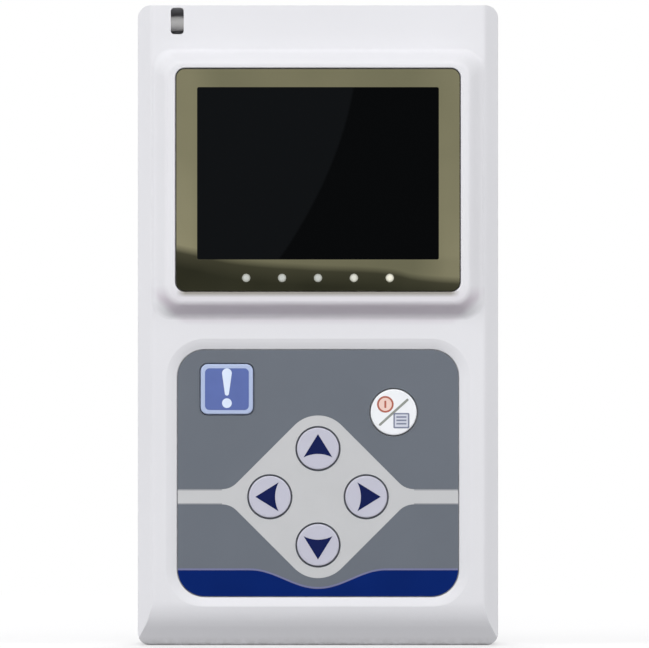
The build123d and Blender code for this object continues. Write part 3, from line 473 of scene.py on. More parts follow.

# %% [markdown]
# ## Lens, screen and their frame
#
# The lens is a rigid window. Its border is printed with a metallised olive bronze ink that
# mirrors the room, and the middle stays clear in front of a dark screen. Seen from outside the
# clear part is simply black with an anti-reflective coat, so the lens is modelled as black gloss,
# with very little reflection head on and more at a glancing angle. A faint curved painted
# reflection runs down the black, lighter to the left of it.

# %% Lens glass
REFLECTION_FOOT_X, REFLECTION_FOOT_Z = -0.0064, 0.0656
REFLECTION_LEAN, REFLECTION_BOW = 0.69, -9.0
REFLECTION_EDGE = 0.0002
GLASS_GLOSS = (0.06, 0.12)
COAT_FACING = (0.15, 0.9)


def make_lens_glass():
    """Black glass with a painted reflection: left of a leaning curve it is a little lighter.

    With h the height above the reflection's foot, the curve is foot + lean h + bow h squared.
    """
    material, tree, shader = new_material("lens_glass")
    place = object_place(tree)
    rise = calc(tree, "SUBTRACT", place["Z"], REFLECTION_FOOT_Z)
    bow = calc(tree, "MULTIPLY", calc(tree, "MULTIPLY", rise, rise), REFLECTION_BOW)
    border = calc(tree, "ADD", calc(tree, "MULTIPLY_ADD", rise, REFLECTION_LEAN, REFLECTION_FOOT_X), bow)
    side = remap(tree, calc(tree, "SUBTRACT", place["X"], border), -REFLECTION_EDGE, REFLECTION_EDGE)
    # Painted reflection: the black is lighter on the left of the curve than on its right.
    base = mix_colours(tree, side, paint(13, 15, 17), paint(4, 5, 6))
    wide = place_group(tree, GRAIN, Size=0.002, Patch_Size=0.02)
    gloss = remap(tree, wide.outputs["Patches"], 0.0, 1.0, *GLASS_GLOSS)
    glancing = add_node(tree, "ShaderNodeLayerWeight", {"Blend": 0.25})
    coat = remap(tree, glancing.outputs["Facing"], *COAT_FACING)
    tree.links.new(base, shader.inputs["Base Color"])
    tree.links.new(gloss, shader.inputs["Roughness"])
    tree.links.new(coat, shader.inputs["Coat Weight"])
    shader.inputs["Coat Roughness"].default_value = 0.04
    shader.inputs["Specular IOR Level"].default_value = 0.02
    return material


dress(make_lens_glass(), "display_lens")

# %% [markdown]
# The metallised border is a ring of ink on the lens. It mirrors a pale room, and that reflection is
# painted into its colour: a little lighter at both sides, most of all low down, a little darker in
# the strip under the screen, and dark towards the lamp row. The boundary of that dark painted
# reflection runs high at the left edge, dips along the lamps and runs out at the right.

# %% Metallised border
DARK_REFLECTION_WAVE = ((0.0, 0.83), (0.07, 0.745), (0.2, 0.585), (0.45, 0.465), (0.75, 0.38),
              (0.85, 0.26), (1.0, 0.19))
WAVE_HEIGHT = 0.0085
STEEP_RAMP, STEEP_SHARE = (-0.0009, 0.0005), 0.84
SLOW_RAMP, SLOW_SHARE = (0.0, 0.003), 0.16
LEFT_SIDE, RIGHT_SIDE, RIGHT_SHARE = (0.05, 0.16), (0.84, 0.95), 0.56
SIDE_HEIGHTS, SIDE_SHARES = (0.083, 0.066), (0.3, 0.88)
STRIP_HEIGHTS, STRIP_SHARE = (0.066, 0.065), 0.17


def dark_reflection_line(tree, across):
    """Height in metres of the dark reflection's wavy edge, from a curve over the lens's width."""
    wave = add_node(tree, "ShaderNodeFloatCurve", {"Value": across})
    curve = wave.mapping.curves[0]
    curve.points[0].location, curve.points[1].location = DARK_REFLECTION_WAVE[0], DARK_REFLECTION_WAVE[-1]
    for x, height in DARK_REFLECTION_WAVE[1:-1]:
        curve.points.new(x, height)
    wave.mapping.update()
    return calc(tree, "MULTIPLY_ADD", wave.outputs[0], WAVE_HEIGHT, lens_low[2] * MM)


def make_border_metal():
    """Bronze metal with painted reflections, dark below a wavy line that is a curve over the width.

    The darkening is the sum of a steep ramp across the line and a slow one under it. The sides are
    shares of the width, lit more and more from the first of the two heights down to the second.
    """
    material, tree, shader = new_material("border_bronze")
    place = object_place(tree)
    across = remap(tree, place["X"], lens_low[0] * MM, lens_high[0] * MM)
    under = calc(tree, "SUBTRACT", dark_reflection_line(tree, across), place["Z"])
    below = calc(tree, "ADD", remap(tree, under, *STEEP_RAMP, 0.0, STEEP_SHARE),
                 remap(tree, under, *SLOW_RAMP, 0.0, SLOW_SHARE))
    cloud = add_node(tree, "ShaderNodeTexNoise", {"Vector": object_point(tree), "Detail": 2.0,
                                                  "Scale": 70.0})
    patches = remap(tree, cloud.outputs[0], 0.35, 0.65)
    # Painted reflections: lit sides, and a dark reflection below the wavy line and in the strip.
    bronze = mix_colours(tree, patches, paint(114, 112, 88), paint(121, 118, 93))
    lit = mix_colours(tree, patches, paint(143, 138, 110), paint(150, 145, 117))
    dark_reflection = mix_colours(tree, patches, paint(42, 42, 31), paint(52, 52, 39))
    left = remap(tree, across, *LEFT_SIDE, 1.0, 0.0)
    right = remap(tree, across, *RIGHT_SIDE, 0.0, RIGHT_SHARE)
    sides = calc(tree, "ADD", left, right)
    down = remap(tree, place["Z"], *SIDE_HEIGHTS, *SIDE_SHARES)
    bronze = mix_colours(tree, calc(tree, "MULTIPLY", sides, down), bronze, lit)
    strip = calc(tree, "MULTIPLY", remap(tree, place["Z"], *STRIP_HEIGHTS, 0.0, STRIP_SHARE),
                 calc(tree, "SUBTRACT", 1.0, sides))
    base = mix_colours(tree, calc(tree, "MAXIMUM", below, strip), bronze, dark_reflection)
    # Painted highlight along the border's edges, through the edge mask.
    edge = place_group(tree, EDGE_WEAR_AND_HIGHLIGHT, Width=0.0001, Amount=0.4)
    base = mix_colours(tree, edge.outputs["Mask"], base, paint(150, 146, 120))
    tree.links.new(base, shader.inputs["Base Color"])
    tree.links.new(remap(tree, cloud.outputs[0], 0.3, 0.7, 0.16, 0.24), shader.inputs["Roughness"])
    shader.inputs["Metallic"].default_value = 1.0
    return material


# %% [markdown]
# The ring's outer edge keeps a hair's breadth inside the lens's own edge, with the same round
# corners. Its holes are the clear window and the five lamp holes, whose middles lie in one row at
# the height of the light guide behind them.

# %% Border ring
LENS_EDGE = 0.05
LENS_CORNER = 1.5
WINDOW_HALF_WIDTH, WINDOW_CORNER = 20.4, 0.3
WINDOW_BOTTOM, WINDOW_TOP = 5.3, 34.4
LAMP_REACH, LAMP_RADIUS = 12.12, 0.72

lens_face = lens_low[1]
window_low = np.array([-WINDOW_HALF_WIDTH, lens_low[2] + WINDOW_BOTTOM])
window_high = np.array([WINDOW_HALF_WIDTH, lens_low[2] + WINDOW_TOP])
lamp_x = np.linspace(-LAMP_REACH, LAMP_REACH, 5)
lamp_z = middle("light_guide")[1]
border_outline = rounded_rectangle(lens_low[[0, 2]] + LENS_EDGE, lens_high[[0, 2]] - LENS_EDGE,
                                   LENS_CORNER - LENS_EDGE)
window_outline = rounded_rectangle(window_low, window_high, WINDOW_CORNER, 4)
lamp_outlines = [circle((x, lamp_z), LAMP_RADIUS, 32) for x in lamp_x]
ink("lens_border", border_outline, lens_face - INK, make_border_metal(), "root",
    holes=[window_outline, *lamp_outlines])
print("window", window_low.round(2), "to", window_high.round(2))

# %% [markdown]
# ## Lamps
#
# Five lamps shine through small round windows in the border. Unlit, they are milky white dots, with
# a glow painted into their colour. Each is a shallow dome: its depth falls off with the square of
# the distance from its middle.

# %% Lamp windows
DOME_RISE, DOME_GAP = 0.06, 0.02
# Radii of the painted glow: full brightness inside the first, dark at the second.
GLOW_CORE_RADIUS, GLOW_END_RADIUS = 0.35, LAMP_RADIUS + 0.1


def dome(name, centre, radius, front, material, rings=6, steps=32):
    """A domed disc: depth front - DOME_RISE (1 - (r / radius) squared), closed by a flat back."""
    share, angle = np.meshgrid(np.linspace(0, 1, rings + 1)[1:],
                               np.linspace(0, 2 * np.pi, steps + 1)[:-1], indexing="ij")
    x = centre[0] + radius * share * np.cos(angle)
    z = centre[1] + radius * share * np.sin(angle)
    y = front - DOME_RISE * (1 - share ** 2)
    skin = np.stack([x, y, z], axis=-1).reshape(-1, 3)
    poles = [[centre[0], front - DOME_RISE, centre[1]], [centre[0], front, centre[1]]]
    ring = np.arange(steps)
    after = (ring + 1) % steps
    inner = np.arange(rings - 1)[:, None] * steps
    outer = inner + steps
    quads = np.stack([inner + ring, inner + after, outer + after, outer + ring], axis=-1)
    top = np.stack([np.full(steps, rings * steps), after, ring], axis=1)
    last = (rings - 1) * steps
    base = np.stack([np.full(steps, rings * steps + 1), last + ring, last + after], axis=1)
    faces = top.tolist() + quads.reshape(-1, 4).tolist() + base.tolist()
    return add_piece(name, np.concatenate([skin, poles]), faces, material, "root")


def make_lamp_white():
    """Milky plastic with a painted glow, brightest in the middle of each lamp, warmer to the right."""
    material = finish("lamp_white", paint(196, 199, 194), roughness=0.35, specular=0.3, grain=0.0002,
                      bump=0.05, variation=0.03, patch=0.001, wear=0.0, dust_and_shade=0.0)
    tree = material.node_tree
    place = object_place(tree)
    pitch = float(lamp_x[1] - lamp_x[0]) * MM
    along = calc(tree, "WRAP", place["X"], pitch / 2, -pitch / 2)
    up = calc(tree, "SUBTRACT", place["Z"], float(lamp_z) * MM)
    distance = calc(tree, "SQRT", calc(tree, "ADD", calc(tree, "MULTIPLY", along, along),
                                       calc(tree, "MULTIPLY", up, up)))
    # Painted glow: bright in the middle, fading to dark at the rim.
    glow_fade = remap(tree, distance, GLOW_CORE_RADIUS * MM, GLOW_END_RADIUS * MM)
    right = remap(tree, place["X"], 0.0, float(lamp_x[-1]) * MM)
    shader = tree.nodes["Principled BSDF"]
    cool = shader.inputs["Base Color"].links[0].from_socket
    warm = mix_colours(tree, right, cool, paint(242, 239, 222))
    tree.links.new(mix_colours(tree, glow_fade, warm, paint(120, 120, 108)), shader.inputs["Base Color"])
    return material


lamp_white = make_lamp_white()
for i, x in enumerate(lamp_x):
    dome(f"lamp_window_{i + 1}", (x, lamp_z), LAMP_RADIUS - DOME_GAP, lens_face, lamp_white)
print("lamps at", lamp_x.round(2), "height", round(float(lamp_z), 2))

# %% [markdown]
# ## Keypad
#
# The keypad is a printed polycarbonate sheet: a mid grey field, a pale diamond that holds the four
# arrow keys and runs out to both sides in a bar, and a navy band whose upper edge dips under the
# diamond. The inks are satin films that take the sheet's own grain, so they are made by the same
# recipe and differ in colour and gloss.

# %% Keypad sheet and its prints
overlay_face = overlay_low[1]
overlay_grey = finish("overlay_grey", paint(105, 111, 120), specular=0.25, grain=0.00025, bump=0.2,
                      variation=0.05, patch=0.012, wear=0.2, worn=paint(135, 140, 148), dust_and_shade=0.1)
dress(overlay_grey, "keypad_overlay")
print_pale = print_finish("print_pale", paint(198, 199, 201), 0.04, patch=0.008, roughness=0.5,
                          specular=0.3, grain=0.00025, bump=0.2, dust_and_shade=0.1)
print_trim = print_finish("print_trim", paint(156, 158, 163), 0.04, patch=0.004, specular=0.3,
                          grain=0.00025, bump=0.15, dust_and_shade=0.1)
print_navy = print_finish("print_navy", paint(12, 38, 107), 0.12, patch=0.008, roughness=0.4,
                          specular=0.02, grain=0.00025, bump=0.15)
print_line = print_finish("print_line", paint(120, 122, 158), 0.08, patch=0.006, grain=0.00025,
                          bump=0.15, dust_and_shade=0.05)

# %% [markdown]
# One quarter of the diamond's outline is worked out and mirrored: a round corner about a key's
# middle, a straight edge at 45 degrees, and a hollow curve where that edge turns into the bar. The
# edge is shared by both arcs, so the hollow's middle follows from where the edge would meet the
# bar, plus the hollow's radius times the tangent of half the turn.

# %% Diamond with its two bars
DIAMOND_RADIUS, HOLLOW_RADIUS, BAR_HALF = 5.6, 3.5, 1.28
KEY_HOLE, BAR_MARGIN = 3.84, 0.02

arrow_spacing = float(key_middle["up_key"][1] - pad[1])
edge_reach = arrow_spacing + DIAMOND_RADIUS * math.sqrt(2)
hollow_middle = edge_reach - BAR_HALF + HOLLOW_RADIUS * math.tan(math.radians(22.5))
bar_end = overlay_high[0] - BAR_MARGIN
quarter = np.concatenate([
    [[bar_end, BAR_HALF]],
    arc((hollow_middle, BAR_HALF + HOLLOW_RADIUS), HOLLOW_RADIUS, 270, 225, 8),
    arc((0, arrow_spacing), DIAMOND_RADIUS, 45, 90, 12),
])
half = np.concatenate([quarter, quarter[::-1][1:] * [-1, 1]])
diamond = np.concatenate([half, half[::-1] * [1, -1]]) + pad
key_holes = [circle(key_middle[name], KEY_HOLE, 64) for name in KEY_NAMES[:4]]
ink("diamond_print", diamond, overlay_face - INK, print_pale, "root",
    holes=key_holes)
print("diamond reaches", round(float(edge_reach), 2), "and its hollows", round(float(hollow_middle), 2))

# %% [markdown]
# A thin grey line trims both edges of each bar. It is printed over the pale ink, so it lies one
# film further forward.

# %% Lines along the bars
LINE_WIDTH = 0.2

for side, side_name in ((-1, "left"), (1, "right")):
    for up, up_name in ((-1, "lower"), (1, "upper")):
        x0, x1 = sorted([side * hollow_middle, side * bar_end])
        z0, z1 = sorted([up * BAR_HALF, up * (BAR_HALF - LINE_WIDTH)])
        corners = np.array([[x0, z0], [x1, z0], [x1, z1], [x0, z1]]) + pad
        ink(f"bar_line_{side_name}_{up_name}", corners, overlay_face - 2 * INK, print_trim, "root")

# %% [markdown]
# The navy band fills the sheet's lower end. Its upper edge is level at both sides and dips by
# half a cosine wave under the diamond. A thin violet line runs along that edge.

# %% Navy band
BAND_TOP, BAND_DIP, DIP_REACH = 12.8, 3.14, 11.5
OVERLAY_CORNER, MARGIN = 4.6, 0.03
EDGE_LINE_WIDTH, EDGE_LINE_OVERLAP = 0.28, 0.02


def band_edge(x):
    """Height of the band's edge: level, less half a cosine wave within reach of the middle."""
    inside = np.clip(np.abs(x) / DIP_REACH, 0, 1)
    return BAND_TOP - BAND_DIP * (1 + np.cos(np.pi * inside)) / 2


reach = overlay_high[0] - MARGIN
bottom = overlay_low[2] + MARGIN
r = OVERLAY_CORNER
meet = math.degrees(math.asin((r - (BAND_TOP - bottom)) / r))
low_left = arc((-reach + r, bottom + r), r, 180 + meet, 270, 16)
low_right = arc((reach - r, bottom + r), r, 270, 360 - meet, 16)
x = np.linspace(low_right[-1, 0], low_left[0, 0], 97)
top = np.stack([x, band_edge(x)], axis=1)
band = np.concatenate([low_left, low_right, top[1:-1]])
ink("navy_band", band, overlay_face - INK, print_navy, "root")
edge_line = np.concatenate([top[::-1] - [0, EDGE_LINE_OVERLAP], top + [0, EDGE_LINE_WIDTH]])
ink("band_line", edge_line, overlay_face - 2 * INK, print_line, "root")
print("band from", round(float(bottom), 2), "to", BAND_TOP)

# %% [markdown]
# ## Keys
#
# Four round arrow keys, a square mark key and a round power and menu key stand just proud of the
# sheet. Each symbol is a print on its key's face and rides with it. An arrow is an isosceles
# triangle whose base is a hollow arc. Its radius follows from the chord and the depth of the
# hollow: (half chord squared + depth squared) / (2 depth).

# %% Arrow keys
arrow_key_pale = finish("arrow_key_pale", paint(194, 194, 208), roughness=0.42, specular=0.3,
                        grain=0.00025, variation=0.03, patch=0.004, worn=paint(206, 206, 214),
                        dust_and_shade=0.3)
dress(arrow_key_pale, *KEY_NAMES[:4])
print_arrow = print_finish("print_arrow", paint(26, 35, 84), 0.15, patch=0.003, roughness=0.4,
                           specular=0.02)
ARROW_TIP, ARROW_FOOT, ARROW_HALF_WIDTH, ARROW_HOLLOW = 2.45, -1.5, 2.45, 0.6
hollow = (ARROW_HALF_WIDTH ** 2 + ARROW_HOLLOW ** 2) / (2 * ARROW_HOLLOW)
sweep = math.degrees(math.asin(ARROW_HALF_WIDTH / hollow))
base = arc((0, ARROW_FOOT + ARROW_HOLLOW - hollow), hollow, 90 + sweep, 90 - sweep, 16)
arrow = np.concatenate([[[0, ARROW_TIP]], base])
for name, turn in zip(KEY_NAMES, (0, 180, 90, 270)):
    ink(name.replace("key", "arrow_print"), turned(arrow, turn) + key_middle[name], key_front - INK,
        print_arrow, name)
print("arrow's hollow has radius", round(hollow, 2))

# %% [markdown]
# The mark key is what the patient presses when something is felt, so it carries a plain exclamation
# mark. Its pale cap shows as a frame round a blue field. The mark's upper part is a tapering drop:
# two arcs of different radius, joined by the straight lines that touch both. The lean of those lines
# is the arcsine of the radii's difference over the distance between their centres.

# %% Mark key
mark_pale = finish("mark_pale", paint(178, 192, 224), roughness=0.42, specular=0.3, grain=0.00025,
                   variation=0.04, patch=0.004, worn=paint(196, 206, 228), dust_and_shade=0.15)
dress(mark_pale, "mark_key")
print_blue = print_finish("print_blue", paint(94, 111, 172), 0.08, patch=0.004, roughness=0.42,
                          grain=0.00025, bump=0.12, dust_and_shade=0.05)
print_ice = print_finish("print_ice", paint(221, 233, 252), 0.03, patch=0.004, grain=0.00025,
                         bump=0.12)
KEY_FLANGE, FRAME_WIDTH, FIELD_CORNER = 0.8, 0.72, 0.75
DROP_TOP, DROP_FOOT, DROP_WIDE, DROP_NARROW = 2.7, -0.75, 0.82, 0.34
DOT_HEIGHT = -2.36

mark = key_middle["mark_key"]
mark_low, mark_high = box_mm("mark_key")
mark_half = (mark_high - mark_low)[[0, 2]] / 2 - KEY_FLANGE - FRAME_WIDTH
ink("mark_field_print", rounded_rectangle(mark - mark_half, mark + mark_half, FIELD_CORNER, 8),
    key_front - INK, print_blue, "mark_key")
taper = math.degrees(math.asin((DROP_WIDE - DROP_NARROW) / (DROP_TOP - DROP_FOOT)))
drop = np.concatenate([arc((0, DROP_TOP), DROP_WIDE, -taper, 180 + taper, 20),
                       arc((0, DROP_FOOT), DROP_NARROW, 180 + taper, 360 - taper, 10)]) + mark
ink("mark_drop_print", drop, key_front - 2 * INK, print_ice, "mark_key")
ink("mark_dot_print", circle(mark + [0, DOT_HEIGHT], DROP_WIDE, 32), key_front - 2 * INK, print_ice,
    "mark_key")
print("blue field", (2 * mark_half).round(2), "drop leans by", round(taper, 1), "degrees")

# %% [markdown]
# The power and menu key has two small signs on a white cap, one on each side of a slash. Five inks
# print them, in up to two layers, so one small helper places an ink on this key by its layer.

# %% Power and menu key
power_white = finish("power_white", paint(240, 242, 246), roughness=0.42, specular=0.3, grain=0.00025,
                     bump=0.12, variation=0.03, patch=0.004, worn=paint(242, 242, 244), dust_and_shade=0.15)
dress(power_white, "power_menu_key")
print_red = print_finish("print_red", paint(180, 102, 86), 0.1)
print_pink = print_finish("print_pink", paint(240, 210, 200), 0.06)
print_steel = print_finish("print_steel", paint(128, 134, 156), 0.08)
print_mist = print_finish("print_mist", paint(212, 215, 227), 0.05)
print_stroke = print_finish("print_stroke", paint(148, 152, 146), 0.08)
power = key_middle["power_menu_key"]


def power_key_ink(name, outline, material, layer=1, holes=()):
    """Ink on the power and menu key. Layer 2 lies on top of layer 1."""
    ink(name, outline, key_front - layer * INK, material, "power_menu_key",
        holes=holes)


# %% [markdown]
# A red ring round a pale red field, with an upright bar, stands for power. It sits in the upper left
# half, and the slash between the halves is a rounded bar turned by 42 degrees.

# %% Power sign and slash
RING_INSIDE, RING_OUTSIDE = 1.1, 1.4
sign = power + [-1.42, 1.34]
power_key_ink("power_field_print", circle(sign, RING_INSIDE, 40), print_pink)
power_key_ink("power_ring_print", circle(sign, RING_OUTSIDE, 48), print_red,
              holes=[circle(sign, RING_INSIDE, 40)])
bar = np.array([0.16, 0.62])
power_key_ink("power_bar_print", rounded_rectangle(sign - bar, sign + bar, 0.1, 4), print_red, layer=2)
stroke = np.array([3.3, 0.2])
slash = turned(rounded_rectangle(-stroke, stroke, 0.15, 4), 42.2) + power
power_key_ink("slash_print", slash, print_stroke)

# %% [markdown]
# A page with three rows stands for the menu, in the lower right half. Its frame and its sheet share
# one outline, so the two inks meet without a gap.

# %% Page sign
PAGE_LINE = 0.25
menu = power + [1.3, -1.42]
page = np.array([1.35, 1.3])
sheet = page - PAGE_LINE
sheet_outline = rounded_rectangle(menu - sheet, menu + sheet, 0.1, 4)
power_key_ink("menu_sheet_print", sheet_outline, print_mist)
power_key_ink("menu_frame_print", rounded_rectangle(menu - page, menu + page, 0.2, 4), print_steel,
              holes=[sheet_outline])
row = np.array([0.85, 0.13])
for i, height in enumerate((0.62, 0.05, -0.52)):
    centre = menu + [0, height]
    power_key_ink(f"menu_row_print_{i + 1}", rounded_rectangle(centre - row, centre + row, 0.05, 3),
                  print_steel, layer=2)
print("signs at", sign.round(2), "and", menu.round(2))

# %% [markdown]
# ## Pieces at the back, the sides and inside
#
# The rest is dressed with the same recipe: a bare satin foil plate, plated screws and sockets,
# gold contacts, black mouldings, the green board and the two cells that the battery door uncovers.

# %% Metals
dress(finish("plate_foil", paint(206, 208, 212), roughness=0.38, metallic=0.85, grain=0.0004, bump=0.12,
             variation=0.05, patch=0.01, wear=0.4, worn=paint(232, 233, 235), dust_and_shade=0.1), "rating_plate")
dress(finish("screw_steel", paint(178, 178, 180), roughness=0.32, metallic=1.0, grain=0.0002, bump=0.15,
             variation=0.15, patch=0.002, wear=0.6, worn=paint(222, 222, 224), dust_and_shade=0.4),
      "case_screws", "board_screws")
dress(finish("pin_satin", paint(184, 183, 182), roughness=0.38, specular=0.6, grain=0.0002, bump=0.1,
             variation=0.1, patch=0.002, wear=0.5, worn=paint(214, 213, 212)), "lanyard_pin")
dress(finish("socket_steel", paint(196, 197, 200), roughness=0.26, metallic=1.0, bump=0.08,
             variation=0.08, patch=0.003, wear=0.5), "data_socket_shell")
dress(finish("contact_gold", paint(214, 178, 92), roughness=0.28, metallic=1.0, grain=0.0002, bump=0.08,
             variation=0.12, patch=0.001, dust_and_shade=0.1), "lead_socket_pins", "data_socket_contacts")
dress(finish("contact_nickel", paint(206, 203, 196), roughness=0.26, metallic=1.0, bump=0.1,
             variation=0.12, patch=0.003, wear=0.5), "battery_contacts", "battery_springs")
dress(finish("cell_steel", paint(200, 200, 198), roughness=0.3, metallic=1.0, bump=0.1,
             variation=0.08, patch=0.003, dust_and_shade=0.1), "coin_cell")

# %% [markdown]
# The plastics inside differ in colour and gloss. Housings are black and lightly glossy, the board is
# green lacquer over glass cloth, and the screen's ribbon is amber film. Only the open battery door
# and the sockets show any of them, but each still has its own finish.

# %% Mouldings and films
dress(finish("socket_black", paint(34, 34, 36), roughness=0.45, bump=0.2, variation=0.2,
             patch=0.004, wear=0.5, worn=paint(66, 66, 68), dust_and_shade=0.3),
      "lead_socket_housing", "data_socket_insert", "switch_housings", "screen_holder",
      "coin_cell_holder", "sounder")
dress(finish("plunger_ivory", paint(196, 190, 174), roughness=0.4, patch=0.002),
      *[f"{name}_plunger" for name in KEY_NAMES], "ribbon_connector")
dress(finish("chip_black", paint(30, 30, 31), roughness=0.6, grain=0.0001, bump=0.3, variation=0.15,
             patch=0.003), "board_chips")
dress(finish("screen_black", paint(10, 11, 12), roughness=0.15, grain=0.002, bump=0.0, variation=0.2,
             patch=0.01), "screen")
dress(finish("adhesive_black", paint(24, 24, 24), roughness=0.8, grain=0.0002, bump=0.4, variation=0.2,
             patch=0.003), "lens_adhesive")
dress(finish("ribbon_amber", paint(172, 98, 28), roughness=0.3, grain=0.0006, bump=0.05, variation=0.15,
             patch=0.003), "screen_ribbon")
dress(finish("light_clear", paint(230, 230, 224), roughness=0.2, grain=0.001, bump=0.02, variation=0.04,
             patch=0.004), "light_guide")
dress(finish("emitter_white", paint(234, 226, 190), roughness=0.3, grain=0.0002, bump=0.05,
             patch=0.0005), "lamp_emitters")
dress(finish("board_green", paint(26, 98, 62), roughness=0.32, grain=0.0008, variation=0.25,
             patch=0.002, worn=paint(176, 150, 96)), "main_board")

# %% [markdown]
# A cell is a steel can in a printed sleeve. The sleeve covers its side and stops short of both
# ends, so the bare steel shows there. One material does both: a mask along the cell's length says
# where the sleeve is, and it drives the colour and the metal alike.

# %% Cells
SLEEVE_FROM, SLEEVE_TO = 0.012, 0.964
BAND_FROM, BAND_TO = 0.76, 0.8


def between(tree, value, low, high):
    """1 where the value lies between the two limits, else 0."""
    return calc(tree, "MULTIPLY", calc(tree, "GREATER_THAN", value, low),
                calc(tree, "LESS_THAN", value, high))


def make_cell(node, nub_up):
    """Sleeve of dark blue with a silver band near the plus end, and bare steel beyond its edges."""
    material, tree, shader = new_material(f"{node}_sleeve")
    low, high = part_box(node)
    flat, nub = (low[2], high[2]) if nub_up else (high[2], low[2])
    height = object_place(tree)["Z"]
    along = add_node(tree, "ShaderNodeMapRange", {0: height, 1: flat, 2: nub}, clamp=False).outputs[0]
    sleeve = between(tree, along, SLEEVE_FROM, SLEEVE_TO)
    band = between(tree, along, BAND_FROM, BAND_TO)
    texture = place_group(tree, GRAIN, Size=0.0004, Patch_Size=0.006)
    blue = mix_colours(tree, texture.outputs["Patches"], paint(34, 58, 108), paint(42, 70, 124))
    printed = mix_colours(tree, band, blue, paint(196, 198, 204))
    scuffs = place_group(tree, EDGE_WEAR_AND_HIGHLIGHT, Width=0.0004, Amount=0.5)
    steel = mix_colours(tree, scuffs.outputs["Mask"], paint(190, 189, 186), paint(222, 221, 218))
    gloss = remap(tree, texture.outputs["Patches"], 0.0, 1.0, 0.26, 0.34)
    raised = add_node(tree, "ShaderNodeBump", {"Strength": 0.08, "Distance": 0.00002,
                                               "Height": texture.outputs["Height"]})
    tree.links.new(mix_colours(tree, sleeve, steel, printed), shader.inputs["Base Color"])
    tree.links.new(calc(tree, "SUBTRACT", 1.0, sleeve), shader.inputs["Metallic"])
    tree.links.new(gloss, shader.inputs["Roughness"])
    tree.links.new(raised.outputs[0], shader.inputs["Normal"])
    return material


dress(make_cell("battery_1", True), "battery_1")
dress(make_cell("battery_2", False), "battery_2")

# %% [markdown]
# ## Floor, light and camera
#
# The photograph is a catalogue picture on pure white. A plain pale floor carries the shadow. Where it
# is seen, it is mixed with white, more and more with the distance, so that no horizon shows.

# %% Floor
FLOOR_HALF_SIDE = 3.0
FADE_FROM, FADE_TO, FADE_LEAST = 0.03, 0.3, 0.45


def seen_directly(tree):
    """1 for rays from the camera, in a reflection or through glass, and 0 for light that bounces."""
    rays = add_node(tree, "ShaderNodeLightPath").outputs
    seen = calc(tree, "MAXIMUM", rays["Is Camera Ray"], rays["Is Glossy Ray"])
    return calc(tree, "MAXIMUM", seen, rays["Is Transmission Ray"])


def make_floor_pale():
    """Pale matt paint, mixed into plain white with the distance from the case where it is seen."""
    material = bpy.data.materials.new("floor_pale")
    material.use_nodes = True
    tree = material.node_tree
    tree.nodes.clear()
    seen = seen_directly(tree)
    noise = add_node(tree, "ShaderNodeTexNoise", {"Vector": object_point(tree), "Scale": 3.0})
    pale = mix_colours(tree, noise.outputs[0], paint(244, 244, 245), paint(238, 238, 239))
    plain = mix_colours(tree, seen, paint(150, 150, 151), pale)
    lit = add_node(tree, "ShaderNodeBsdfDiffuse", {"Color": plain})
    white = add_node(tree, "ShaderNodeEmission", {"Color": (1, 1, 1, 1), "Strength": 1.0})
    away = add_node(tree, "ShaderNodeVectorMath", {0: object_point(tree)}, operation="LENGTH")
    fade = remap(tree, away.outputs["Value"], FADE_FROM, FADE_TO, FADE_LEAST, 1.0)
    share = calc(tree, "MULTIPLY", seen, fade)
    mixed = add_node(tree, "ShaderNodeMixShader", {0: share, 1: lit.outputs[0], 2: white.outputs[0]})
    output = add_node(tree, "ShaderNodeOutputMaterial")
    tree.links.new(mixed.outputs[0], output.inputs[0])
    return material


mesh = bpy.data.meshes.new("floor")
corners = np.array([[-1, -1, 0], [1, -1, 0], [1, 1, 0], [-1, 1, 0]]) * FLOOR_HALF_SIDE
mesh.from_pydata(corners.tolist(), [], [(0, 1, 2, 3)])
mesh.materials.append(make_floor_pale())
floor = bpy.data.objects.new("floor", mesh)
bpy.context.scene.collection.objects.link(floor)
print("floor", 2 * FLOOR_HALF_SIDE, "m square")

# %% [markdown]
# The world is the room's even light. It is dim for the light that falls on the case, and plain white
# where the camera, a reflection or the view through glass meets it, so the background is pure white.

# %% World
AMBIENT = 0.3
world = bpy.data.worlds.new("studio")
bpy.context.scene.world = world
world.use_nodes = True
tree = world.node_tree
tree.nodes.clear()
dim = add_node(tree, "ShaderNodeBackground", {"Color": (1, 1, 1, 1), "Strength": AMBIENT})
white = add_node(tree, "ShaderNodeBackground", {"Color": (1, 1, 1, 1), "Strength": 1.0})
sky = add_node(tree, "ShaderNodeMixShader", {0: seen_directly(tree), 1: dim.outputs[0],
                                             2: white.outputs[0]})
tree.links.new(sky.outputs[0], add_node(tree, "ShaderNodeOutputWorld").inputs[0])
print("room light", AMBIENT)

# %% [markdown]
# The photograph's shading gives its lamps away. The slopes that face up are brighter than the face,
# the ones that face down are darker, and the left side is a little lighter than the right. One lamp
# stands in front and above, one at each side, and a fourth behind lights the back. Their powers were
# found by rendering each lamp alone and adding the pictures up until the shades agreed.

# %% Softboxes
LAMP_DISTANCE = 1.2
middle_of_case = Vector((0, 0, (cad_low.z + cad_high.z) / 2))


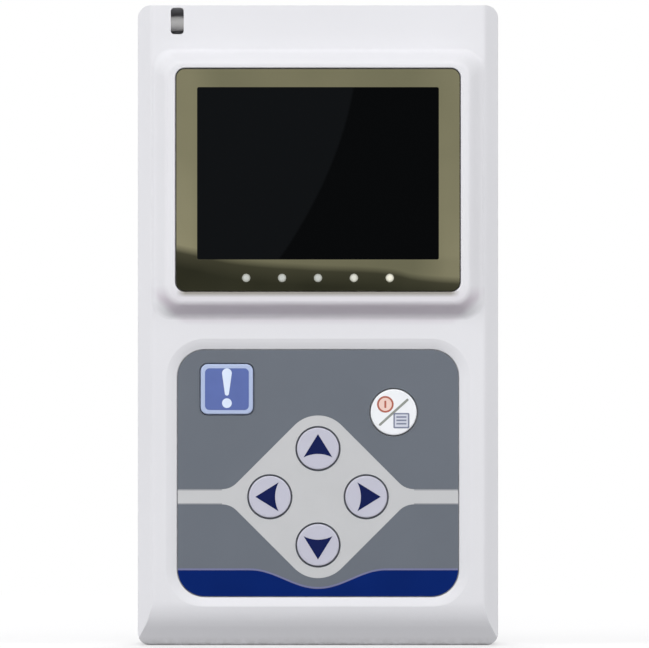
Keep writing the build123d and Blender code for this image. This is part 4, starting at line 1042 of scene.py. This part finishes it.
def softbox(name, azimuth, elevation, width, height, power):
    """A rectangular lamp that faces the case. Azimuth 0 is in front and 90 at the right.

    Its direction is (sin a cos e, -cos a cos e, sin e), with a the azimuth and e the elevation.
    """
    a, e = math.radians(azimuth), math.radians(elevation)
    away = Vector((math.sin(a) * math.cos(e), -math.cos(a) * math.cos(e), math.sin(e)))
    light = bpy.data.lights.new(name, "AREA")
    light.shape = "RECTANGLE"
    light.size, light.size_y = width, height
    light.energy = power
    lamp = bpy.data.objects.new(name, light)
    lamp.location = middle_of_case + away * LAMP_DISTANCE
    lamp.rotation_euler = away.to_track_quat("Z", "Y").to_euler()
    lamp.visible_camera = False
    lamp.visible_glossy = False
    bpy.context.scene.collection.objects.link(lamp)
    print(name, power, "W")


softbox("key_softbox", azimuth=0, elevation=30, width=0.9, height=0.7, power=5.4)
softbox("left_softbox", azimuth=-60, elevation=15, width=0.6, height=1.0, power=9.2)
softbox("right_softbox", azimuth=60, elevation=15, width=0.6, height=1.0, power=7.0)
softbox("back_softbox", azimuth=180, elevation=35, width=0.9, height=0.7, power=11.0)

# %% [markdown]
# The camera looks straight at the front, as the photograph does, from far enough away for almost no
# perspective. Its lens follows from the width of the case and the share of the picture it fills.

# %% Camera
FRAME_PIXELS, OUTLINE_PIXELS = 649, 360.4
CAMERA_DISTANCE, OUTLINE_DEPTH = 1.6, 0.0072
CAMERA_X, CAMERA_Z = 0.0011, 0.05442
SENSOR = 36.0

span = (cad_high.x - cad_low.x) * FRAME_PIXELS / OUTLINE_PIXELS
camera_data = bpy.data.cameras.new("camera")
camera_data.sensor_width = SENSOR
camera_data.lens = SENSOR * (CAMERA_DISTANCE - OUTLINE_DEPTH) / span
camera_data.clip_start, camera_data.clip_end = 0.1, 20.0
camera = bpy.data.objects.new("camera", camera_data)
camera.location = (CAMERA_X, -CAMERA_DISTANCE, CAMERA_Z)
camera.rotation_euler = (math.radians(90), 0, 0)
bpy.context.scene.collection.objects.link(camera)
bpy.context.scene.camera = camera
bpy.context.scene.view_settings.view_transform = "Standard"
print("lens", round(camera_data.lens, 1), "mm")

# %% Print the CAD box and finish
print("CAD box", cad_low, cad_high)
